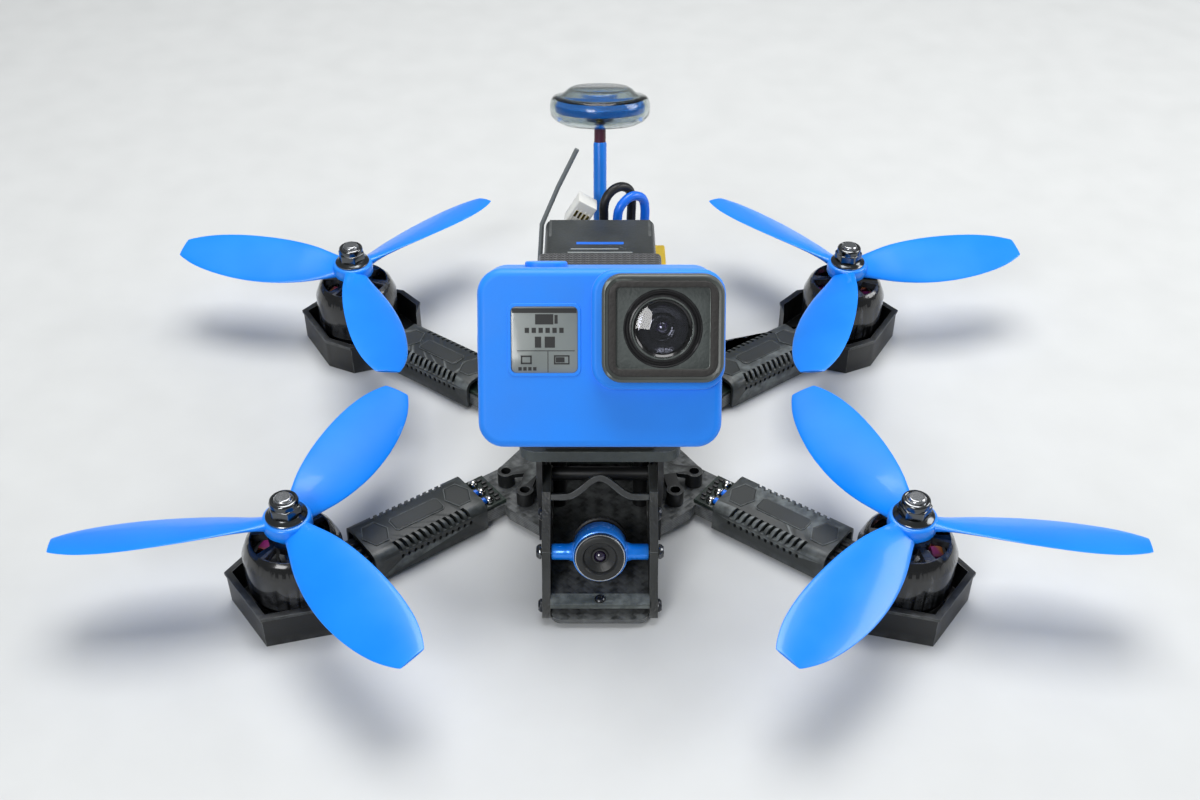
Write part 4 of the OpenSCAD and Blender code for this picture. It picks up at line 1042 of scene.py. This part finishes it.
def forward_lens():
    """A short barrel with a silver lip, a broad flat front and a dark cone down to small glass."""
    barrel = turned("barrel", [(0.001, -3.5), (6.95, -3.5), (6.95, 4.0), (6.5, 4.0), (6.5, 2.2),
            (0.001, 2.2)], 96)
    lip = turned("lip", [(6.6, 3.4), (6.98, 3.4), (6.98, 4.2), (6.85, 4.45), (6.6, 4.45), (6.6, 3.4)], 96)
    front = turned("front", [(0.001, 2.0), (6.6, 2.0), (6.6, 4.6), (6.45, 4.9), (6.1, 5.05), (5.3, 5.1),
            (4.85, 5.05), (4.65, 4.85), (4.3, 4.0), (2.2, 2.9), (2.15, 3.3), (1.75, 3.35), (1.7, 2.8),
            (0.001, 2.7)], 96)
    whole = joined("fpv_lens_made", [painted(barrel, "lens_black"), painted(lip, "machined_steel"),
            painted(front, "bezel_grey")])
    belongs(smooth(moved(whole, on_pivot())), TILT, "lens_barrel", "fpv_lens")
    dome = turned("dome", [(0.001, 4.1), (0.6, 4.0), (1.2, 3.7), (1.6, 3.2), (1.6, 3.0), (0.001, 2.9)], 48)
    # Painted reflection: the small glass's dark violet colour stands in for the coating's purple
    # reflections.
    painted(smooth(moved(dome, on_pivot()), 60), "glass_with_painted_violet_reflection")
    dome.name = "forward_lens_glass"
    belongs(dome, TILT, "lens_glass")


def forward_case():
    case = turned("case", [(0.001, -9.4), (5.8, -9.4), (6.0, -9.3), (7.6, -7.6), (7.7, -7.2), (7.7, -5.6),
            (7.2, -5.3), (7.1, -3.55), (0.001, -3.5)], 72)
    ridges = ridged_ring("ridges", 7.55, -7.3, -5.5, 40, 0.22)
    whole = smooth(joined("fpv_camera_case", [case, ridges]))
    painted(moved(whole, on_pivot()), "black_plastic")
    belongs(whole, TILT, "black_plastic", "fpv_camera_body")


# ---------- battery and antennas ----------

def make_battery():
    """A shrink-wrapped pack with its wrap folded over the rear end, and a plain label on top."""
    low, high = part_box("battery_pack")
    low, high = low / MM, high / MM
    size = high - low
    middle = (low + high) / 2
    pack = rounded_block("pack", size, middle, 1, 2.4, 1.1, 6)
    flap = soft_block("flap", (size.x - 1.2, 0.5, 10), (middle.x, high.y - 0.28, high.z - 6.2), 0.2)
    fold = soft_block("fold", (size.x - 2.5, 9.5, 0.3), (middle.x, high.y - 5.4, high.z - 0.2), 0.12)
    seam = soft_block("seam", (0.5, size.y - 6, 0.2), (high.x - 5.4, middle.y, high.z - 0.15), 0.08)
    wrap = painted(joined("wrap", [pack, flap, fold, seam]), "wrap_grey")
    label = rounded_block("label", (size.x - 7, 46, 0.16), (middle.x, middle.y - 2, high.z - 0.1), 2, 1.6,
            0.05, 4)
    painted(label, "label_grey")
    print_z = high.z - 0.01
    rows = enumerate(((14, -4), (19, 0), (12, 3), (20, 0.5), (16, -2), (18, 1)))
    lines = [block("line", (width, 0.55, 0.06), (middle.x + side * 0.4, high.y - 17.4 - 1.9 * row, print_z))
             for row, (width, side) in rows]
    ink = painted(joined("lines", lines), "label_ink")
    mark = painted(block("mark", (14, 1.3, 0.06), (middle.x, high.y - 14.2, print_z)), "label_blue")
    whole = joined("battery_pack_made", [wrap, label, ink, mark])
    smooth(whole)
    belongs(whole, FRAME, "battery_wrap", "battery_pack")


ANTENNA_LEAN = math.radians(17)
ANTENNA_Y = 41
DISC_SEAT_Z = 88        # where the stalk's washer meets the shell


def make_antenna():
    """A mushroom antenna: a clear shell over a blue disc, on a leaning blue stalk with a dark red collar."""
    deck_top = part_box("top_deck")[1].z / MM
    root_z = deck_top + 3
    length = (DISC_SEAT_Z - root_z) / math.cos(ANTENNA_LEAN)
    on_stalk = shift(0, ANTENNA_Y, root_z) @ Matrix.Rotation(-ANTENNA_LEAN, 4, "X")
    upper = []
    for name, finish, profile in (
            ("stalk", "stalk_blue",
             [(0.001, -length), (2.05, -length), (2.05, -6.2), (1.85, -5.6), (0.001, -5.6)]),
            ("collar", "collar_red", [(0.001, -5.8), (1.8, -5.8), (1.8, -1), (0.001, -1)]),
            ("washer", "black_plastic",
             [(0.001, -1), (4.1, -1), (4.3, -0.8), (4.3, -0.2), (4.1, 0), (0.001, 0)]),
            ("stem", "gold_contact", [(0.001, 0), (1.2, 0), (1.2, 3.8), (0.001, 3.8)])):
        upper.append(moved(painted(turned(name, profile, base=length), finish), on_stalk))
    nut = rod("nut", 4.6, 2.4, (0, 0, deck_top + 1.2), sides=6)
    bevel_where(nut, sharp, 0.3, 2)
    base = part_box("antenna_stalk")[0].z / MM
    sleeve = turned("sleeve", [(2.1, base), (3.1, base), (3.1, deck_top + 5.6), (2.9, deck_top + 6),
            (2.1, deck_top + 6), (2.1, base)])
    fitting = painted(joined("fitting", [nut, sleeve]), "machined_steel")
    moved(fitting, shift(0, ANTENNA_Y, 0))
    whole = joined("antenna_stalk_made", [*upper, fitting])
    smooth(whole)
    belongs(whole, FRAME, "blue_plastic", "antenna_stalk")
    disc = painted(refined("antenna_disc", 0.5, 3), "stalk_blue")
    belongs(disc, FRAME, "blue_plastic", "antenna_disc")
    shell = turned("shell", [(1.3, 0), (10, 0), (12, 0.35), (14, 1.4), (15.2, 2.8), (15.5, 4.4),
            (15.5, 6.4), (15, 7.8), (14.3, 8.5), (12.5, 8.9), (11.5, 9.3), (9.7, 10.8), (8.9, 11.2),
            (0.001, 11.2), (0.001, 10.2), (8.4, 10.2), (9.1, 9.7), (11.1, 8.3), (12.4, 7.9), (13.8, 7.5),
            (14.5, 6.2), (14.5, 4.5), (14.2, 3.3), (13.2, 2.2), (11.6, 1.3), (10, 1.1), (1.3, 1.1),
            (1.3, 0)], 96)
    moved(shell, on_stalk @ shift(0, 0, length))
    painted(smooth(shell, 40), "smoked_shell")
    shell.name = "antenna_cap_made"
    belongs(shell, FRAME, "smoked_plastic", "antenna_cap")


# ---------- the rest of the frame ----------

REFINED = (
    ("main_plate", 0.15, "carbon_flat", "rubbed_plate_edge", "carbon"),
    ("left_cage_plate", 0.28, "cage_grey", "rubbed_plate_edge", "carbon"),
    ("right_cage_plate", 0.28, "cage_grey", "rubbed_plate_edge", "carbon"),
    ("left_side_panel", 0.2, "black_plastic", "rubbed_dark_edge", "side_panel"),
    ("right_side_panel", 0.2, "black_plastic", "rubbed_dark_edge", "side_panel"),
    ("front_bridge", 0.3, "bridge_grey", "rubbed_dark_edge", "side_panel"),
    ("nose_plate", 0.15, "deck_grey", "rubbed_plate_edge", "deck"),
    ("top_deck", 0.5, "deck_grey", "rubbed_plate_edge", "deck"),
    ("standoffs", 0.15, "black_plastic", None, "black_plastic"),
    ("arm_brackets", 0.35, "bracket_black", "rubbed_dark_edge", "bracket"),
    ("frame_screws", 0.15, "screw_dark", None, "steel"),
    ("flight_controller", 0.12, "board", None, "board"), ("video_transmitter", 0.2, "chip", None, "board"),
    ("motor_bases", 0.2, "motor_black", "rubbed_metal_edge", "motor_black"),
    ("motor_stators", 0.1, "laminated_steel", None, "laminations"),
    ("motor_windings", 0.25, "enamelled_copper", None, "copper"),
    ("motor_bearings", 0.1, "machined_steel", None, "steel"),
    ("esc_boards", 0.12, "board", None, "board"),
    ("motor_guards", 0.45, "guard_black", "rubbed_dark_edge", "black_plastic"),
    ("motor_leads", 0.1, "wire_black", None, "black_wire"),
    ("esc_power_leads", 0.1, "wire_blue", None, "blue_wire"),
    ("action_camera_mount", 0.5, "black_plastic", None, "black_plastic"),
    ("battery_strap", 0.25, "strap_webbing", None, "webbing"),
    ("power_connector", 0.6, "amber_nylon", None, "connector"),
    ("receiver_antenna", 0.1, "tube_grey", None, "grey_tube"))


def make_frame():
    for node, width, material, edge, slot in REFINED:
        piece = painted(refined(node, width), material, edge)
        belongs(piece, FRAME, slot, node)
    screws = painted(refined("fpv_pivot_screws", 0.2), "dark_chrome")
    belongs(screws, TILT, "dark_chrome", "fpv_pivot_screws")


# ---------- floor and light ----------

def soft_light(name, place, target, size, power):
    bpy.ops.object.light_add(type="AREA", location=place)
    lamp = bpy.context.object
    lamp.name = name
    lamp.data.size = size
    lamp.data.energy = power
    lamp.rotation_euler = (Vector(target) - Vector(place)).to_track_quat("-Z", "Y").to_euler()


def set_stage():
    rest_all()
    bpy.ops.mesh.primitive_plane_add(size=6, location=(0, 0, 0))
    floor = bpy.context.object
    floor.name = "floor"
    surface("pale_floor", (0.6, 0.61, 0.61), 0.8, grain=400, depth=0.01, mottle=0.02, wear=0)
    painted(floor, "pale_floor")
    soft_light("overhead", (0.0, 0.2, 0.9), (0, 0, 0), 0.6, 8)
    soft_light("front", (-0.35, -0.75, 0.6), (0, 0, 0.03), 0.35, 4)
    soft_light("side", (0.8, 0.1, 0.45), (0, 0, 0.03), 0.4, 3)
    world = bpy.data.worlds.new("studio")
    world.use_nodes = True
    world.node_tree.nodes["Background"].inputs[0].default_value = (0.8, 0.84, 0.85, 1)
    world.node_tree.nodes["Background"].inputs[1].default_value = 0.28
    bpy.context.scene.world = world
    bpy.context.scene.view_settings.view_transform = "Standard"


set_camera()
make_cords()
blade_pattern = shape_blade()
for corner in CORNERS:
    make_propeller(corner, blade_pattern)
    make_nut(corner)
    make_motor(corner)
bpy.data.objects.remove(blade_pattern)
make_covers()
make_solder()
action_body()
make_action_lens()
make_screen()
make_buttons()
tilt_bracket()
forward_lens()
forward_case()
make_battery()
make_antenna()
make_frame()
set_stage()
